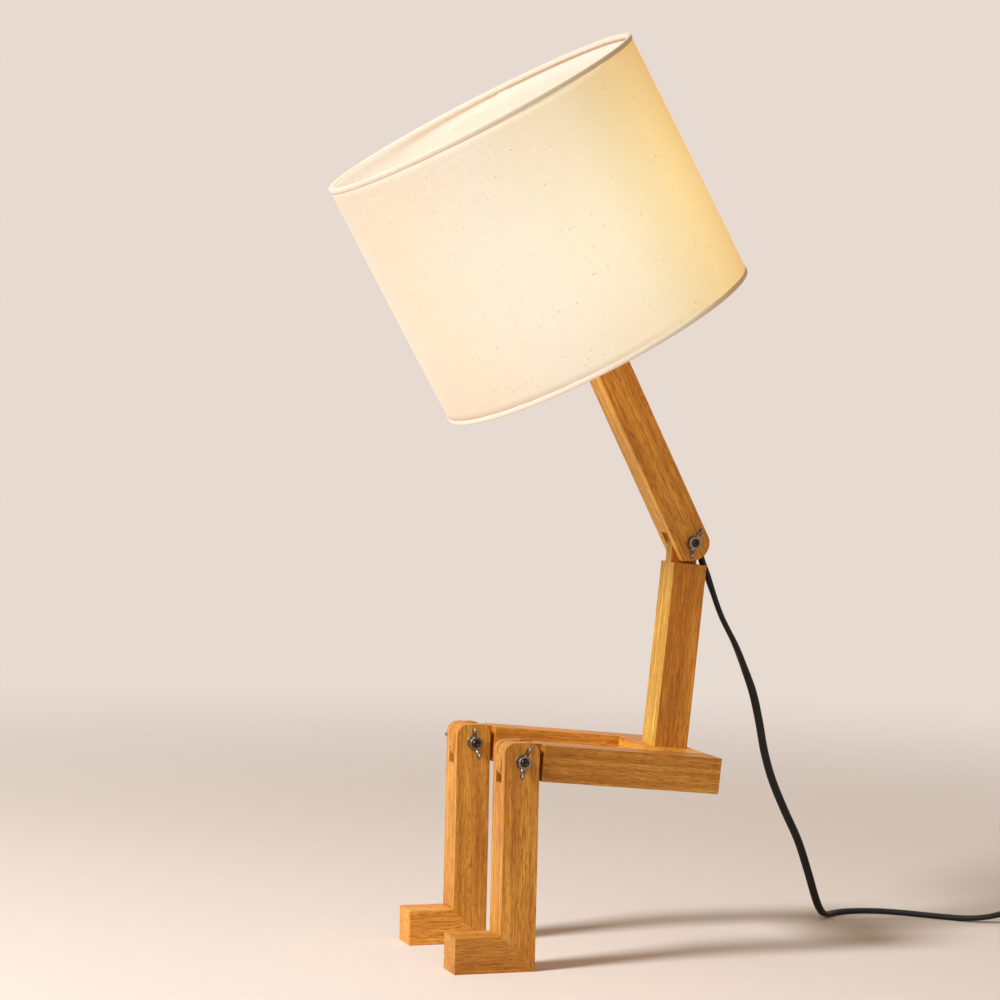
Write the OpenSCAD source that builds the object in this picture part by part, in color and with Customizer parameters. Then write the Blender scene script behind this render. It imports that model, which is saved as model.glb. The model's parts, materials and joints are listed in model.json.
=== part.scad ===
// Wooden figure desk lamp: two legs, seat, torso, swing arm and drum shade.
// Every piece is its own node. Millimetres, +Z up, soles on z = 0, facing -Y,
// x = 0 is the middle plane and y = 0 lies under the middle of the shade.

/* [Wooden bars] */
// Side of the square bars
bar = 23.4; // [22.6:0.2:23.8]
// Distance between the middles of the two legs
leg_spacing = 100; // [80:1:120]
// Height of the knee bolts above the floor
knee_height = 135.5; // [110:0.5:160]
// Reach of the foot in front of the shin
toe_reach = 30.6; // [20:0.2:45]
// Knee bolt to the rear end of the thigh
thigh_length = 137.5; // [120:0.5:160]
// Slope of the thighs and the seat, downwards to the rear, in degrees
seat_slope = 5.1; // [2:0.1:6]
// Depth of the block between the thighs
seat_depth = 34; // [30:1:45]
// Distance of the torso from the rear end of the seat
torso_inset = 4.6; // [2:0.2:8]
// Height of the torso from the seat to its shoulder
torso_height = 122.9; // [100:0.1:150]
// Forward lean of the upper arm from the vertical, in degrees
arm_lean = 27.2; // [15:0.1:40]
// Elbow bolt to the lower rim of the shade, along the arm
arm_reach = 146.4; // [125:0.2:170]

/* [Joints] */
// Thickness of the tongues
tongue = 9.2; // [8:0.2:11]
// Length of a clevis end past its bolt
clevis_end = 12.2; // [11.8:0.1:12.4]
// Corner radius of a clevis end
clevis_round = 7; // [6.8:0.1:8]
// Length of the knee tongues past their bolts
tongue_end = 11.9; // [11.7:0.1:12.2]
// Corner radius of the elbow's tongue
tongue_round = 9.4; // [9.2:0.1:11]
// Radius of the arm's lower end about the elbow bolt
arm_end = 12; // [11.7:0.1:12.6]
// Depth of the arm's front corner below the elbow bolt
arm_corner = 7.8; // [4:0.1:8]
// Depth of the knees' slots past their bolts
knee_slot = 14.4; // [14.3:0.1:15]
// Depth of the elbow's slot past its bolt
elbow_slot = 13; // [13:0.1:14]
// Bolt to the shoulder beside a tongue
shoulder = 14.4; // [14.4:0.1:16]
// Diameter of the wing bolts
bolt_d = 5; // [4:0.5:6]
// Span of the wings
wing_span = 22; // [20:1:26]
// Reach of the wings from the face of the nut
wing_reach = 9; // [8:0.5:11]

/* [Shade] */
// Outer diameter of the drum shade
shade_d = 220; // [200:2:240]
// Height of the drum shade
shade_h = 173; // [150:1:190]
// Extra forward lean of the shade on the arm, in degrees
shade_lean = 2.7; // [0:0.1:4]
// Thickness of the fabric
fabric_t = 0.9; // [0.8:0.1:1.2]
// Height of the lamp ring above the lower rim
fitter_z = 14; // [12:0.5:18]

/* [Lead] */
// Width of the flat mains cord
cord_w = 5.6; // [5:0.1:5.8]
// Thickness of the flat mains cord
cord_t = 3.8; // [3.4:0.1:4]
// Middle radius of the coiled lead
coil_r = 29; // [27:0.5:30]

/* [Hidden] */
$fn = 64;

WOOD = [0.78, 0.50, 0.22];
WOOD_LIGHT = [0.86, 0.62, 0.33];
NICKEL = [0.80, 0.80, 0.82];
BRASS = [0.80, 0.62, 0.30];
STEEL = [0.62, 0.62, 0.64];
LINEN = [0.96, 0.92, 0.82];
LINER = [0.98, 0.97, 0.93];
HOLDER = [0.93, 0.92, 0.88];
GLOW = [1.00, 0.93, 0.78];
BLACK = [0.05, 0.05, 0.05];

// Room in the fits: bolts in bores, tongues in slots
half = bar / 2;
bolt_fit = 0.05;
tongue_fit = 0.075;
slot_play = 1.2;
slot_w = tongue + slot_play;

// Places in the middle plane, as [y, z]
seat_run = thigh_length - torso_inset - half;
torso_rise = half + torso_height + shoulder;
shade_tilt = arm_lean + shade_lean;
elbow_y = arm_reach * sin(arm_lean) + shade_h / 2 * sin(shade_tilt);
knee_y = elbow_y - seat_run * cos(seat_slope) - torso_rise * sin(seat_slope);
elbow_z = knee_height - seat_run * sin(seat_slope) + torso_rise * cos(seat_slope);
leg_x = leg_spacing / 2;

// Fasteners
washer_d = 9.6;
washer_t = 0.8;
hub_h = 4.8;
hub_d = 8.6;
hub_foot_d = 9.2;
bolt_out = 0.9;
wing_t = 2.6;
wing_tip_r = 3.3;
stack = half + washer_t;
dowel_d = 6;
dowel_l = 24;
dowel_play = 0.1;
mitre_dowel_d = 5;
mitre_dowel_l = 18;
screw_d = 4.5;
screw_l = 60;
screw_head_d = 9;
screw_head_h = 3;
screw_x = 5.5;

// Way of the cable through the arm and the elbow
arm_bore_d = 7;
arm_bore_end = 25;
cable_flat = 6.9;
clip_low = -6.3;
clip_high = -2.3;
clip_back_low = 12.6;
clip_back_high = 11.4;
clip_w = 9.2;
clip_wall = 1.1;
clip_play = 0.15;
notch_in = 9.5;
notch_drop = 7;
relief_low = 22;
relief_high = 30;
notch_w = 6.6;

// Lampholder and shade, heights above the lower rim
arm_top = -8;
nipple_d = 10;
nipple_bore = 6.6;
nipple_in = 16;
nipple_out = 10;
cap_top = 10;
core_top = 19;
shell_top = 47;
shell_d = 39;
ring_bore = 40.6;
wire_d = 3.2;
liner_t = 0.8;
wire_r = shade_d / 2 - fabric_t - liner_t - wire_d / 2 - 0.1;
wire_z = wire_d / 2 + 0.4;
bulb_r = 30;
bulb_z = 98;
bulb_foot = 46;
bulb_neck_r = 14;
bulb_wall = 1;

// Lead: switch, coil and plug lie on the floor behind the lamp
switch_at = [-33, 425];
switch_l = 58;
switch_w = 24;
switch_h = 16;
sleeve_l = 8;
rocker_l = 18.4;
rocker_w = 9.6;
rocker_z = 12.4;
rocker_tilt = 8;
coil_at = [0, 500];
coil_spread = 3.9;
coil_top = 15.2;
plug_at = [22, 385];
plug_w = 35.3;
plug_t = 14;
plug_l = 36;
plug_sleeve_l = 24;
pin_d = 4;
pin_l = 19;
pin_gap = 18.6;
switch_y0 = switch_at[1] - switch_l / 2 - sleeve_l;
switch_y1 = switch_at[1] + switch_l / 2 + sleeve_l;
plug_y1 = plug_at[1] + plug_l + plug_sleeve_l;

// Routes of the three loose stretches of cord, each a smooth line through its points
main_route = [
    [0, 118.9, 272.2], [0, 119.8, 266.3], [-0.4, 122.3, 259], [-1, 125.8, 251.5],
    [-2.6, 131, 239.5], [-5, 139.2, 222], [-9, 151.2, 203], [-13.5, 161, 185],
    [-18.5, 169.6, 168], [-24, 177, 148], [-30, 184, 127], [-36, 193.2, 106], [-43, 206, 84],
    [-50, 220, 61.5], [-56.5, 231, 39], [-62, 239.2, 21], [-66.5, 244.9, 11], [-73.2, 251.9, 4.4],
    [-83, 262, 1.9], [-89.3, 275, 1.9], [-89.3, 289, 1.9], [-85, 302.5, 1.9], [-75.5, 316.5, 1.9],
    [-64, 328.6, 1.9], [-52.5, 340.6, 2], [-42.5, 352, 2.6], [-36, 362.4, 4.3],
    [-33.3, 372.5, 6.5], [-33, 380.5, 7.7], [-33, switch_y0, 8]
];
switch_route = [
    [-33, switch_y1, 8], [-33, 466, 8], [-33, 472, 7.1], [-33, 478, 4.9], [-33, 484, 2.8],
    [-33, 490, 1.9], [-32.9, 500, 1.9]
];
plug_route = [
    [33, 494, 13.3], [33, 490, 13.3], [32.6, 484, 13.1], [31.2, 478, 12.4], [29, 472, 11.2],
    [26.6, 466, 9.7], [24.4, 460, 8.3], [22.7, 454, 7.3], [22, 448, 7], [22, 446.5, 7],
    [22, plug_y1, 7]
];

// Turn of the main cord's width, in degrees, at shares of its length
main_turns = [
    [0, 0], [0.03, 0], [0.085, -30], [0.15, -27], [0.2, -8], [0.23, 15], [0.28, 45],
    [0.38, 48], [0.56, 44], [0.64, 8], [0.68, 0], [1, 0]
];
level = [[0, 0], [1, 0]];
// Nearly upright, so that a cord that hangs straight down has a side too
side_from = [0, 0.02, 1];

// ---- helpers ----

// Smooth line through four points, from the second to the third
function blend_point(a, b, c, d, t) =
    0.5 * (2 * b + (c - a) * t + (2 * a - 5 * b + 4 * c - d) * t * t
    + (3 * b - a - 3 * c + d) * t * t * t);

// Points along a route, never lower than a cord that lies on the floor
function smooth_route(p, steps) = [
    for (i = [0 : len(p) - 2])
        for (j = [0 : i == len(p) - 2 ? steps : steps - 1])
            lift(blend_point(
                p[max(i - 1, 0)], p[i], p[i + 1], p[min(i + 2, len(p) - 1)], j / steps))
];
function lift(p) = [p[0], p[1], max(p[2], cord_t / 2)];
function unit(v) = v / norm(v);
function heading(p, i) = unit(p[min(i + 1, len(p) - 1)] - p[max(i - 1, 0)]);
function run_to(p, i) = i == 0 ? 0 : run_to(p, i - 1) + norm(p[i] - p[i - 1]);

// Half of the cord's section, from its edge over its flat face; the other half mirrors it
cord_half = [
    [cord_w / 2, -cord_t / 5], [cord_w / 2, cord_t / 5], [cord_w / 3.1, cord_t / 2],
    [-cord_w / 3.1, cord_t / 2]
];
cord_section = concat(cord_half, -cord_half);

// Flat cord swept along a line of points. Its width lies level, then is turned by the table
module cord(points, turns) {
    sides = len(cord_section);
    last = len(points) - 1;
    length = run_to(points, last);
    rings = [
        for (i = [0 : last])
            let (
                t = heading(points, i), flat = unit(cross(t, side_from)), up = cross(flat, t),
                a = lookup(run_to(points, i) / length, turns),
                wide = cos(a) * flat + sin(a) * up, thick = cross(wide, t)
            )
                for (c = cord_section) points[i] + c[0] * wide + c[1] * thick
    ];
    walls = [
        for (i = [0 : last - 1], k = [0 : sides - 1], half_quad = [0, 1])
            let (a = i * sides + k, b = i * sides + (k + 1) % sides)
                half_quad == 0 ? [a, b, b + sides] : [a, b + sides, a + sides]
    ];
    start = [for (k = [0 : sides - 1]) sides - 1 - k];
    end = [for (k = [0 : sides - 1]) last * sides + k];
    polyhedron(rings, concat(walls, [start, end]));
}

// Everything that stands in the sloping seat: +Y runs to the rear along the thigh
module in_seat() {
    translate([0, knee_y, knee_height]) rotate([-seat_slope, 0, 0]) children();
}

// The elbow bolt's axis, in the lean of the torso
module at_elbow_on_torso() {
    translate([0, elbow_y, elbow_z]) rotate([-seat_slope, 0, 0]) children();
}

// The elbow bolt's axis, with +Z along the upper arm
module in_arm() {
    translate([0, elbow_y, elbow_z]) rotate([arm_lean, 0, 0]) children();
}

// The middle of the shade's lower rim, seen from the arm's own frame
module in_neck() {
    translate([0, 0, arm_reach]) rotate([shade_lean, 0, 0]) children();
}

// The middle of the shade's lower rim, with +Z along the shade
module in_shade() {
    in_arm() in_neck() children();
}

// A profile drawn in [y, z] and given a width along X, middle at x
module across(width, x = 0) {
    translate([x - width / 2, 0, 0])
        rotate([90, 0, 90]) linear_extrude(width) children();
}

// Outline of a bar that reaches up past a bolt at the origin, with rounded corners
module rounded_end(below, past, corner) {
    inner = half - corner;
    translate([-half, -below]) square([bar, below + past - corner]);
    translate([-inner, 0]) square([2 * inner, past]);
    for (s = [-1, 1])
        translate([s * inner, past - corner]) circle(corner);
}

// Outline of the arm, round about its bolt at the origin but for the corner in front
module arm_outline() {
    corner_reach = norm([half, arm_corner]);
    away = atan2(arm_corner, half) + acos(min(1, arm_end / corner_reach));
    intersection() {
        union() {
            circle(arm_end);
            polygon([
                [0, 0], [-half, 0], [-half, -arm_corner], [-arm_end * cos(away), -arm_end * sin(away)]
            ]);
        }
        translate([-half, -bar]) square([bar, 2 * bar]);
    }
    translate([-half, 0]) square([bar, arm_reach + 2]);
}

// Round hole or pin along X, middle at the origin
module x_rod(d, l) {
    rotate([0, 90, 0]) cylinder(d = d, h = l, center = true);
}

// ---- fasteners ----

// Two wings that flare out from a hub, as one flat outline
module wings() {
    root = hub_d / 2 - 1;
    reach = wing_span / 2 - wing_tip_r;
    rotate([90, 0, 0])
        linear_extrude(wing_t, center = true)
            for (s = [-1, 1])
                scale([s, 1])
                    union() {
                        translate([reach, wing_reach - wing_tip_r]) circle(wing_tip_r);
                        polygon([
                            [root, 0.8], [reach + 0.6, wing_reach - 2 * wing_tip_r + 0.1],
                            [reach - 1.4, wing_reach - 0.4], [root, hub_h - 0.4]
                        ]);
                    }
}

// Wing nut along +X with its face at the origin, its bore clear of the bolt
module wing_nut(turn) {
    rotate([turn, 0, 0]) rotate([0, 90, 0])
        difference() {
            union() {
                cylinder(d1 = hub_foot_d, d2 = hub_d, h = hub_h);
                wings();
            }
            translate([0, 0, -1])
                cylinder(d = bolt_d + 2 * tongue_fit, h = wing_reach + 2);
        }
}

// Wing bolt along +X: its winged head lies on the -X side of a joint of bar width
module wing_bolt(turn) {
    end = stack + hub_h + bolt_out;
    translate([-stack, 0, 0]) rotate([turn, 0, 0]) rotate([0, -90, 0]) {
        cylinder(d1 = hub_foot_d, d2 = hub_d, h = hub_h);
        wings();
    }
    translate([-stack - 0.5, 0, 0]) rotate([0, 90, 0])
        difference() {
            union() {
                cylinder(d = bolt_d, h = stack + 0.5 + end - 0.6);
                translate([0, 0, stack + 0.5 + end - 0.6])
                    cylinder(d1 = bolt_d, d2 = bolt_d - 1.2, h = 0.6);
            }
            translate([0, 0, stack + 0.5 + end - 0.8]) cylinder(d = 1.6, h = 1);
        }
}

// The two washers of one joint
module washers() {
    for (s = [-1, 1])
        translate([s * (half + washer_t / 2), 0, 0])
            difference() {
                x_rod(washer_d, washer_t);
                x_rod(bolt_d + 2 * bolt_fit, washer_t + 1);
            }
}

// ---- legs ----

// One leg's frame: the knee bolt's axis over the sole
module in_leg(side) {
    translate([side * leg_x, knee_y, 0]) children();
}

// The dowels' axes cross the mitre between shin and foot at a right angle
module mitre_dowels(d, l) {
    for (s = [-1, 1])
        translate([s * screw_x, 0, half]) rotate([-45, 0, 0]) cylinder(d = d, h = l, center = true);
}

module shin(side) {
    color(WOOD) in_leg(side)
        difference() {
            across(bar) translate([0, knee_height])
                rounded_end(knee_height, clevis_end, clevis_round);
            across(bar + 1) polygon([[-half - 1, bar + 1], [-half - 1, -1], [half + 1, -1]]);
            across(slot_w) translate([-bar, knee_height - knee_slot]) square([2 * bar, bar * 2]);
            translate([0, 0, knee_height]) x_rod(bolt_d + 2 * bolt_fit, bar + 1);
            mitre_dowels(mitre_dowel_d + dowel_play, mitre_dowel_l + 1);
        }
}

module foot(side) {
    color(WOOD_LIGHT) in_leg(side)
        difference() {
            across(bar) polygon([
                [-half - toe_reach, 0], [half, 0], [-half, bar], [-half - toe_reach, bar]
            ]);
            mitre_dowels(mitre_dowel_d + dowel_play, mitre_dowel_l + 1);
        }
}

module foot_dowels(side) {
    color(WOOD_LIGHT) in_leg(side) mitre_dowels(mitre_dowel_d, mitre_dowel_l);
}

module knee_bolt(side, turn) {
    color(NICKEL) in_leg(side) translate([0, 0, knee_height]) wing_bolt(turn);
}

module knee_washers(side) {
    color(STEEL) in_leg(side) translate([0, 0, knee_height]) washers();
}

module knee_wing_nut(side, turn) {
    color(NICKEL) in_leg(side) translate([stack, 0, knee_height]) wing_nut(turn);
}

// ---- seat and torso ----

// Dowel axes of both thighs' joints with the block
module seat_dowel_axes(d, l) {
    for (s = [-1, 1], y = [thigh_length - 26, thigh_length - 8])
        translate([s * (leg_x - half), y, 0]) x_rod(d, l);
}

module thigh(side) {
    color(WOOD) in_seat()
        difference() {
            union() {
                across(tongue, side * leg_x)
                    rotate(90) rounded_end(shoulder, tongue_end, clevis_round);
                across(bar, side * leg_x)
                    translate([shoulder, -half]) square([thigh_length - shoulder, bar]);
            }
            translate([side * leg_x, 0, 0]) x_rod(bolt_d + 2 * tongue_fit, bar);
            seat_dowel_axes(dowel_d + dowel_play, dowel_l + 1);
        }
}

module torso_screw_axes(d, l) {
    for (s = [-1, 1])
        translate([s * screw_x, seat_run, -half]) cylinder(d = d, h = l);
}

module torso_screw_heads(extra) {
    for (s = [-1, 1])
        translate([s * screw_x, seat_run, -half])
            cylinder(d1 = screw_head_d + extra, d2 = screw_d + extra, h = screw_head_h);
}

module seat_block() {
    inside = leg_spacing - bar;
    color(WOOD) in_seat()
        difference() {
            across(inside)
                translate([thigh_length - seat_depth, -half]) square([seat_depth, bar]);
            seat_dowel_axes(dowel_d + dowel_play, dowel_l + 1);
            translate([0, 0, -0.5]) torso_screw_axes(screw_d + dowel_play, bar + 1);
            torso_screw_heads(dowel_play);
        }
}

module seat_dowels() {
    color(WOOD_LIGHT) in_seat() seat_dowel_axes(dowel_d, dowel_l);
}

module torso_screws() {
    color(STEEL) in_seat() {
        torso_screw_axes(screw_d, screw_l);
        torso_screw_heads(0);
    }
}

// Outline of the elbow's tongue, cut round behind the bolt to make way for the cable
module elbow_tongue_outline() {
    intersection() {
        rounded_end(shoulder, half, tongue_round);
        union() {
            translate([-bar, -bar]) square([bar, 2 * bar]);
            circle(cable_flat);
            translate([-bar, -bar]) square([bar + cable_flat, bar]);
        }
    }
}

module torso() {
    color(WOOD)
        difference() {
            at_elbow_on_torso() {
                across(bar) translate([-half, -shoulder - torso_height]) square([bar, torso_height]);
                across(tongue) elbow_tongue_outline();
            }
            at_elbow_on_torso() x_rod(bolt_d + 2 * tongue_fit, bar);
            at_elbow_on_torso() across(notch_w)
                polygon([
                    [notch_in, 1 - shoulder], [notch_in, -1 - shoulder],
                    [half + 1, -notch_drop - shoulder], [half + 1, 1 - shoulder]
                ]);
            in_seat() torso_screw_axes(screw_d + dowel_play, screw_l + 1);
        }
}

// Saddle that holds the cord in the elbow's slot, on the flat back of the tongue
module cord_clip() {
    past = 2;
    slant = (clip_back_low - clip_back_high) / (clip_high - clip_low) * past;
    color(BLACK) at_elbow_on_torso()
        difference() {
            across(clip_w)
                polygon([
                    [cable_flat, clip_low], [clip_back_low + clip_wall, clip_low],
                    [clip_back_high + clip_wall, clip_high], [cable_flat, clip_high]
                ]);
            across(cord_w + 2 * clip_play)
                polygon([
                    [0, clip_low - past], [clip_back_low + slant, clip_low - past],
                    [clip_back_high - slant, clip_high + past], [0, clip_high + past]
                ]);
        }
}

// ---- upper arm ----

module upper_arm() {
    color(WOOD) in_arm()
        difference() {
            across(bar) arm_outline();
            in_neck() translate([-bar, -bar, arm_top]) cube(2 * bar);
            across(slot_w)
                polygon([
                    [-bar, -bar], [-bar, elbow_slot], [-0.5, elbow_slot], [0, relief_low],
                    [half, relief_high], [bar, relief_high], [bar, -bar]
                ]);
            x_rod(bolt_d + 2 * bolt_fit, bar + 1);
            cylinder(d = arm_bore_d, h = arm_reach - arm_bore_end);
            in_neck() translate([0, 0, arm_top - nipple_in - 2])
                cylinder(d = nipple_d + dowel_play, h = nipple_in + nipple_out + 2);
        }
}

// Lamp flex inside the arm, from the nipple down to the rear of the elbow's slot
module arm_cable() {
    top = arm_reach + arm_top + nipple_out - 0.6;
    neck = arm_reach - arm_bore_end;
    color(BLACK) in_arm()
        cord([
            [0, 0, top], [0, 0.4, neck], [0, 0.4, 90], [0, 0.4, 60], [0, 0.4, 36], [0, 0.4, 26],
            [0, 1.8, 21.3], [0, 4.6, 17.8], [0, 7.8, 15.2], [0, 9.7, 12]
        ], level);
}

module elbow_bolt() {
    color(NICKEL) in_arm() wing_bolt(35);
}

module elbow_washers() {
    color(STEEL) in_arm() washers();
}

module elbow_wing_nut() {
    color(NICKEL) in_arm() translate([stack, 0, 0]) wing_nut(-48);
}

// ---- lampholder ----

// A turned piece: an outline in [radius, height] spun about the shade's axis
module turned(outline) {
    in_shade() rotate_extrude() polygon(outline);
}

module holder_nipple() {
    r = nipple_d / 2;
    low = arm_top - nipple_in;
    high = arm_top + nipple_out;
    color(BRASS) turned([
        [nipple_bore / 2, low], [r, low], [r, high], [nipple_bore / 2, high]
    ]);
}

module holder_cap() {
    r = shell_d / 2;
    r_hole = nipple_d / 2 + dowel_play / 2;
    color(HOLDER) turned([
        [r_hole, arm_top], [r - 7, arm_top], [r - 2.5, arm_top + 3], [r, arm_top + 8],
        [r, cap_top], [r - 2, cap_top], [r - 2, arm_top + 9], [r - 4, arm_top + 5],
        [r_hole, arm_top + 3]
    ]);
}

module holder_core() {
    r = shell_d / 2 - 2.1;
    low = arm_top + nipple_out;
    color(LINER) turned([
        [0, low], [8, low], [8, 12], [r, 12], [r, core_top], [3, core_top],
        [3, core_top + 0.9], [0, core_top + 0.9]
    ]);
}

module holder_shell() {
    r = shell_d / 2;
    r_in = bulb_neck_r + 0.6;
    color(HOLDER) turned([
        [r - 2, cap_top], [r, cap_top], [r + 3, cap_top + 1], [r + 3, fitter_z - 0.8],
        [r, fitter_z - 0.8], [r, 40], [r - 1.5, shell_top], [r_in, shell_top],
        [r_in, core_top], [r - 2, core_top]
    ]);
}

// Threaded metal sleeve that takes the bulb
module holder_thread() {
    r_out = bulb_neck_r + 0.5;
    r_in = bulb_neck_r - 0.3;
    color(BRASS) turned([
        [5, core_top], [r_out, core_top], [r_out, 42], [r_in, 42], [r_in, core_top + 0.8],
        [5, core_top + 0.8]
    ]);
}

module shade_ring_nut() {
    r = shell_d / 2 + 0.1;
    color(HOLDER) turned([
        [r, fitter_z + 0.8], [r + 6.4, fitter_z + 0.8], [r + 6.4, fitter_z + 2.8],
        [r + 3, fitter_z + 3.4], [r + 3, fitter_z + 8], [r, fitter_z + 8]
    ]);
}

// ---- shade ----

// A wire hoop of the shade's frame
module hoop(z) {
    translate([0, 0, z])
        rotate_extrude() translate([wire_r, 0]) circle(d = wire_d, $fn = 24);
}

// Lamp ring with three spokes that drop to the lower hoop
module shade_fitter() {
    plate_t = 1.6;
    plate_r = 29;
    root = plate_r - 1.5;
    run = wire_r - wire_d / 2 - 0.1 - root;
    drop = fitter_z - wire_z;
    color(STEEL) in_shade() {
        translate([0, 0, fitter_z - plate_t / 2])
            difference() {
                cylinder(r = plate_r, h = plate_t);
                translate([0, 0, -1]) cylinder(d = ring_bore, h = plate_t + 2);
            }
        for (a = [30, 150, 270])
            rotate([0, 0, a]) translate([root, 0, fitter_z])
                rotate([0, 90 + atan(drop / run), 0])
                    cylinder(d = 3, h = norm([run, drop]), $fn = 24);
    }
}

module shade_lower_ring() {
    color(STEEL) in_shade() hoop(wire_z);
}

module shade_upper_ring() {
    color(STEEL) in_shade() hoop(shade_h - wire_z);
}

// A drum wall of one thickness
module drum(r, t, low, high) {
    rotate_extrude() translate([r - t, low]) square([t, high - low]);
}

module shade_lining() {
    color(LINER) in_shade()
        drum(shade_d / 2 - fabric_t, liner_t, 0.5, shade_h - 0.5, $fn = 96);
}

module shade_fabric() {
    color(LINEN) in_shade() drum(shade_d / 2, fabric_t, 0, shade_h, $fn = 96);
}

// ---- bulb ----

module bulb_cap() {
    color(NICKEL) turned([
        [4, 21.5], [9, 22.5], [bulb_neck_r - 1, 26], [bulb_neck_r - 0.4, 28],
        [bulb_neck_r - 0.4, bulb_foot], [bulb_neck_r - 1.2, bulb_foot],
        [bulb_neck_r - 1.2, 28.4], [8.6, 23.4], [4, 22.6]
    ]);
}

module bulb_contact() {
    color(BLACK) turned([
        [0, 20], [3.6, 20.4], [4, 21.5], [4, 24], [0, 24]
    ]);
}

// Half outline of the globe on its tapered neck, drawn in by a wall and let down below its foot
module globe_outline(wall, below) {
    r = bulb_r - wall;
    neck = bulb_neck_r - wall;
    foot = bulb_foot - below;
    lean = asin((r - neck) / (bulb_z - bulb_foot));
    r_touch = r * cos(lean);
    z_touch = bulb_z - r * sin(lean);
    polygon([[0, foot], [neck, foot], [neck, bulb_foot], [r_touch, z_touch], [0, z_touch]]);
    intersection() {
        translate([0, bulb_z]) circle(r);
        translate([0, z_touch]) square([r + 1, 2 * r]);
    }
}

// Frosted glass envelope, open where the cap holds its foot
module bulb_glass() {
    color(GLOW) in_shade() rotate_extrude()
        difference() {
            globe_outline(0, 0);
            globe_outline(bulb_wall, 1);
        }
}

// ---- mains lead ----

module mains_cord() {
    color(BLACK) cord(smooth_route(main_route, 2), main_turns);
}

module switch_lead() {
    color(BLACK) cord(smooth_route(switch_route, 1), level);
}

module plug_lead() {
    color(BLACK) cord(smooth_route(plug_route, 2), level);
}

// A frame on the floor at a place given as [x, y]
module on_floor(at) {
    translate([at[0], at[1], 0]) children();
}

// Plan of the switch, a bar with softened corners
module switch_plan(inset) {
    l = switch_l / 2 - inset;
    w = switch_w / 2 - inset;
    c = 4;
    polygon([
        [-w, -l + c], [-w + c, -l], [w - c, -l], [w, -l + c],
        [w, l - c], [w - c, l], [-w + c, l], [-w, l - c]
    ]);
}

module switch_screw_axes(d, l) {
    for (s = [-1, 1]) translate([s * 8, s * 21, 0]) cylinder(d = d, h = l);
}

module switch_base() {
    color(BLACK) on_floor(switch_at)
        difference() {
            linear_extrude(switch_h / 2) switch_plan(0);
            translate([0, 0, 1.6]) linear_extrude(switch_h) cavity_plan();
            switch_screw_axes(2.6, switch_h);
            translate([0, 0, -0.1]) switch_screw_axes(4.8, 1.7);
        }
}

// Room inside the switch, clear of its screws
module cavity_plan() {
    square([8, 44], center = true);
    square([18, 24], center = true);
}

module switch_cover() {
    color(BLACK) on_floor(switch_at)
        difference() {
            translate([0, 0, switch_h / 2]) linear_extrude(switch_h / 2) switch_plan(0);
            translate([0, 0, switch_h / 2 - 1]) linear_extrude(2.4) cavity_plan();
            translate([0, 0, switch_h])
                cube([rocker_w + 0.8, rocker_l + 2.4, switch_h], center = true);
            translate([0, 0, rocker_z]) x_rod(2.6, switch_w - 6);
            switch_screw_axes(2.6, switch_h - 4);
        }
}

// Rocker on two trunnions, pressed down at its near end
module switch_rocker() {
    color(BLACK) on_floor(switch_at) translate([0, 0, rocker_z]) rotate([rocker_tilt, 0, 0]) {
        across(rocker_w)
            polygon([
                [-rocker_l / 2, 0], [0, -1.8], [rocker_l / 2, 0], [rocker_l / 2, 4.8],
                [0, 3.2], [-rocker_l / 2, 4.8]
            ]);
        x_rod(2.5, switch_w - 8);
    }
}

module switch_contacts() {
    color(BRASS) on_floor(switch_at)
        for (s = [-1, 1]) translate([s * 5.5 - 2, -9, 1.6]) cube([4, 18, 2.4]);
}

module switch_screws() {
    color(STEEL) on_floor(switch_at) {
        translate([0, 0, 0.2]) switch_screw_axes(4.6, 1.4);
        translate([0, 0, 0.2]) switch_screw_axes(2.5, 10);
    }
}

// Tapered sleeve along +Y that starts at the origin
module sleeve(d0, d1, l) {
    rotate([-90, 0, 0]) cylinder(d1 = d0, d2 = d1, h = l);
}

module switch_sleeves() {
    color(BLACK) on_floor(switch_at) translate([0, 0, switch_h / 2]) {
        translate([0, switch_l / 2, 0]) sleeve(9, 6.4, sleeve_l);
        translate([0, -switch_l / 2, 0]) rotate([0, 0, 180]) sleeve(9, 6.4, sleeve_l);
    }
}

// Section of the coil, or of the band over it
module coil_outline(grow) {
    reach = coil_spread + cord_w / 2 + grow;
    translate([coil_r - reach, 0]) square([2 * reach, coil_top + grow]);
}

module cord_coil() {
    color(BLACK) on_floor(coil_at) rotate_extrude() coil_outline(0);
}

// Band around the turns, on the far side of the coil
module coil_tie() {
    color(BLACK) on_floor(coil_at) rotate([0, 0, 80])
        rotate_extrude(angle = 20)
            difference() {
                coil_outline(0.9);
                coil_outline(0);
            }
}

module plug_body() {
    w = plug_w / 2;
    color(BLACK) on_floor(plug_at) linear_extrude(plug_t)
        polygon([
            [-w, 0], [w, 0], [w, 9], [w - 2, 14], [8, 31], [6, plug_l], [-6, plug_l],
            [-8, 31], [-w + 2, 14], [-w, 9]
        ]);
}

module plug_pins() {
    color(NICKEL) on_floor(plug_at)
        for (s = [-1, 1])
            translate([s * pin_gap / 2, 0, plug_t / 2]) rotate([90, 0, 0]) {
                cylinder(d = pin_d, h = pin_l - 1);
                translate([0, 0, pin_l - 1]) cylinder(d1 = pin_d, d2 = pin_d - 1.4, h = 1);
            }
}

module plug_sleeve() {
    color(BLACK) on_floor(plug_at) translate([0, plug_l, plug_t / 2]) sleeve(10, 6.4, plug_sleeve_l);
}

// ---- nodes ----

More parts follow.
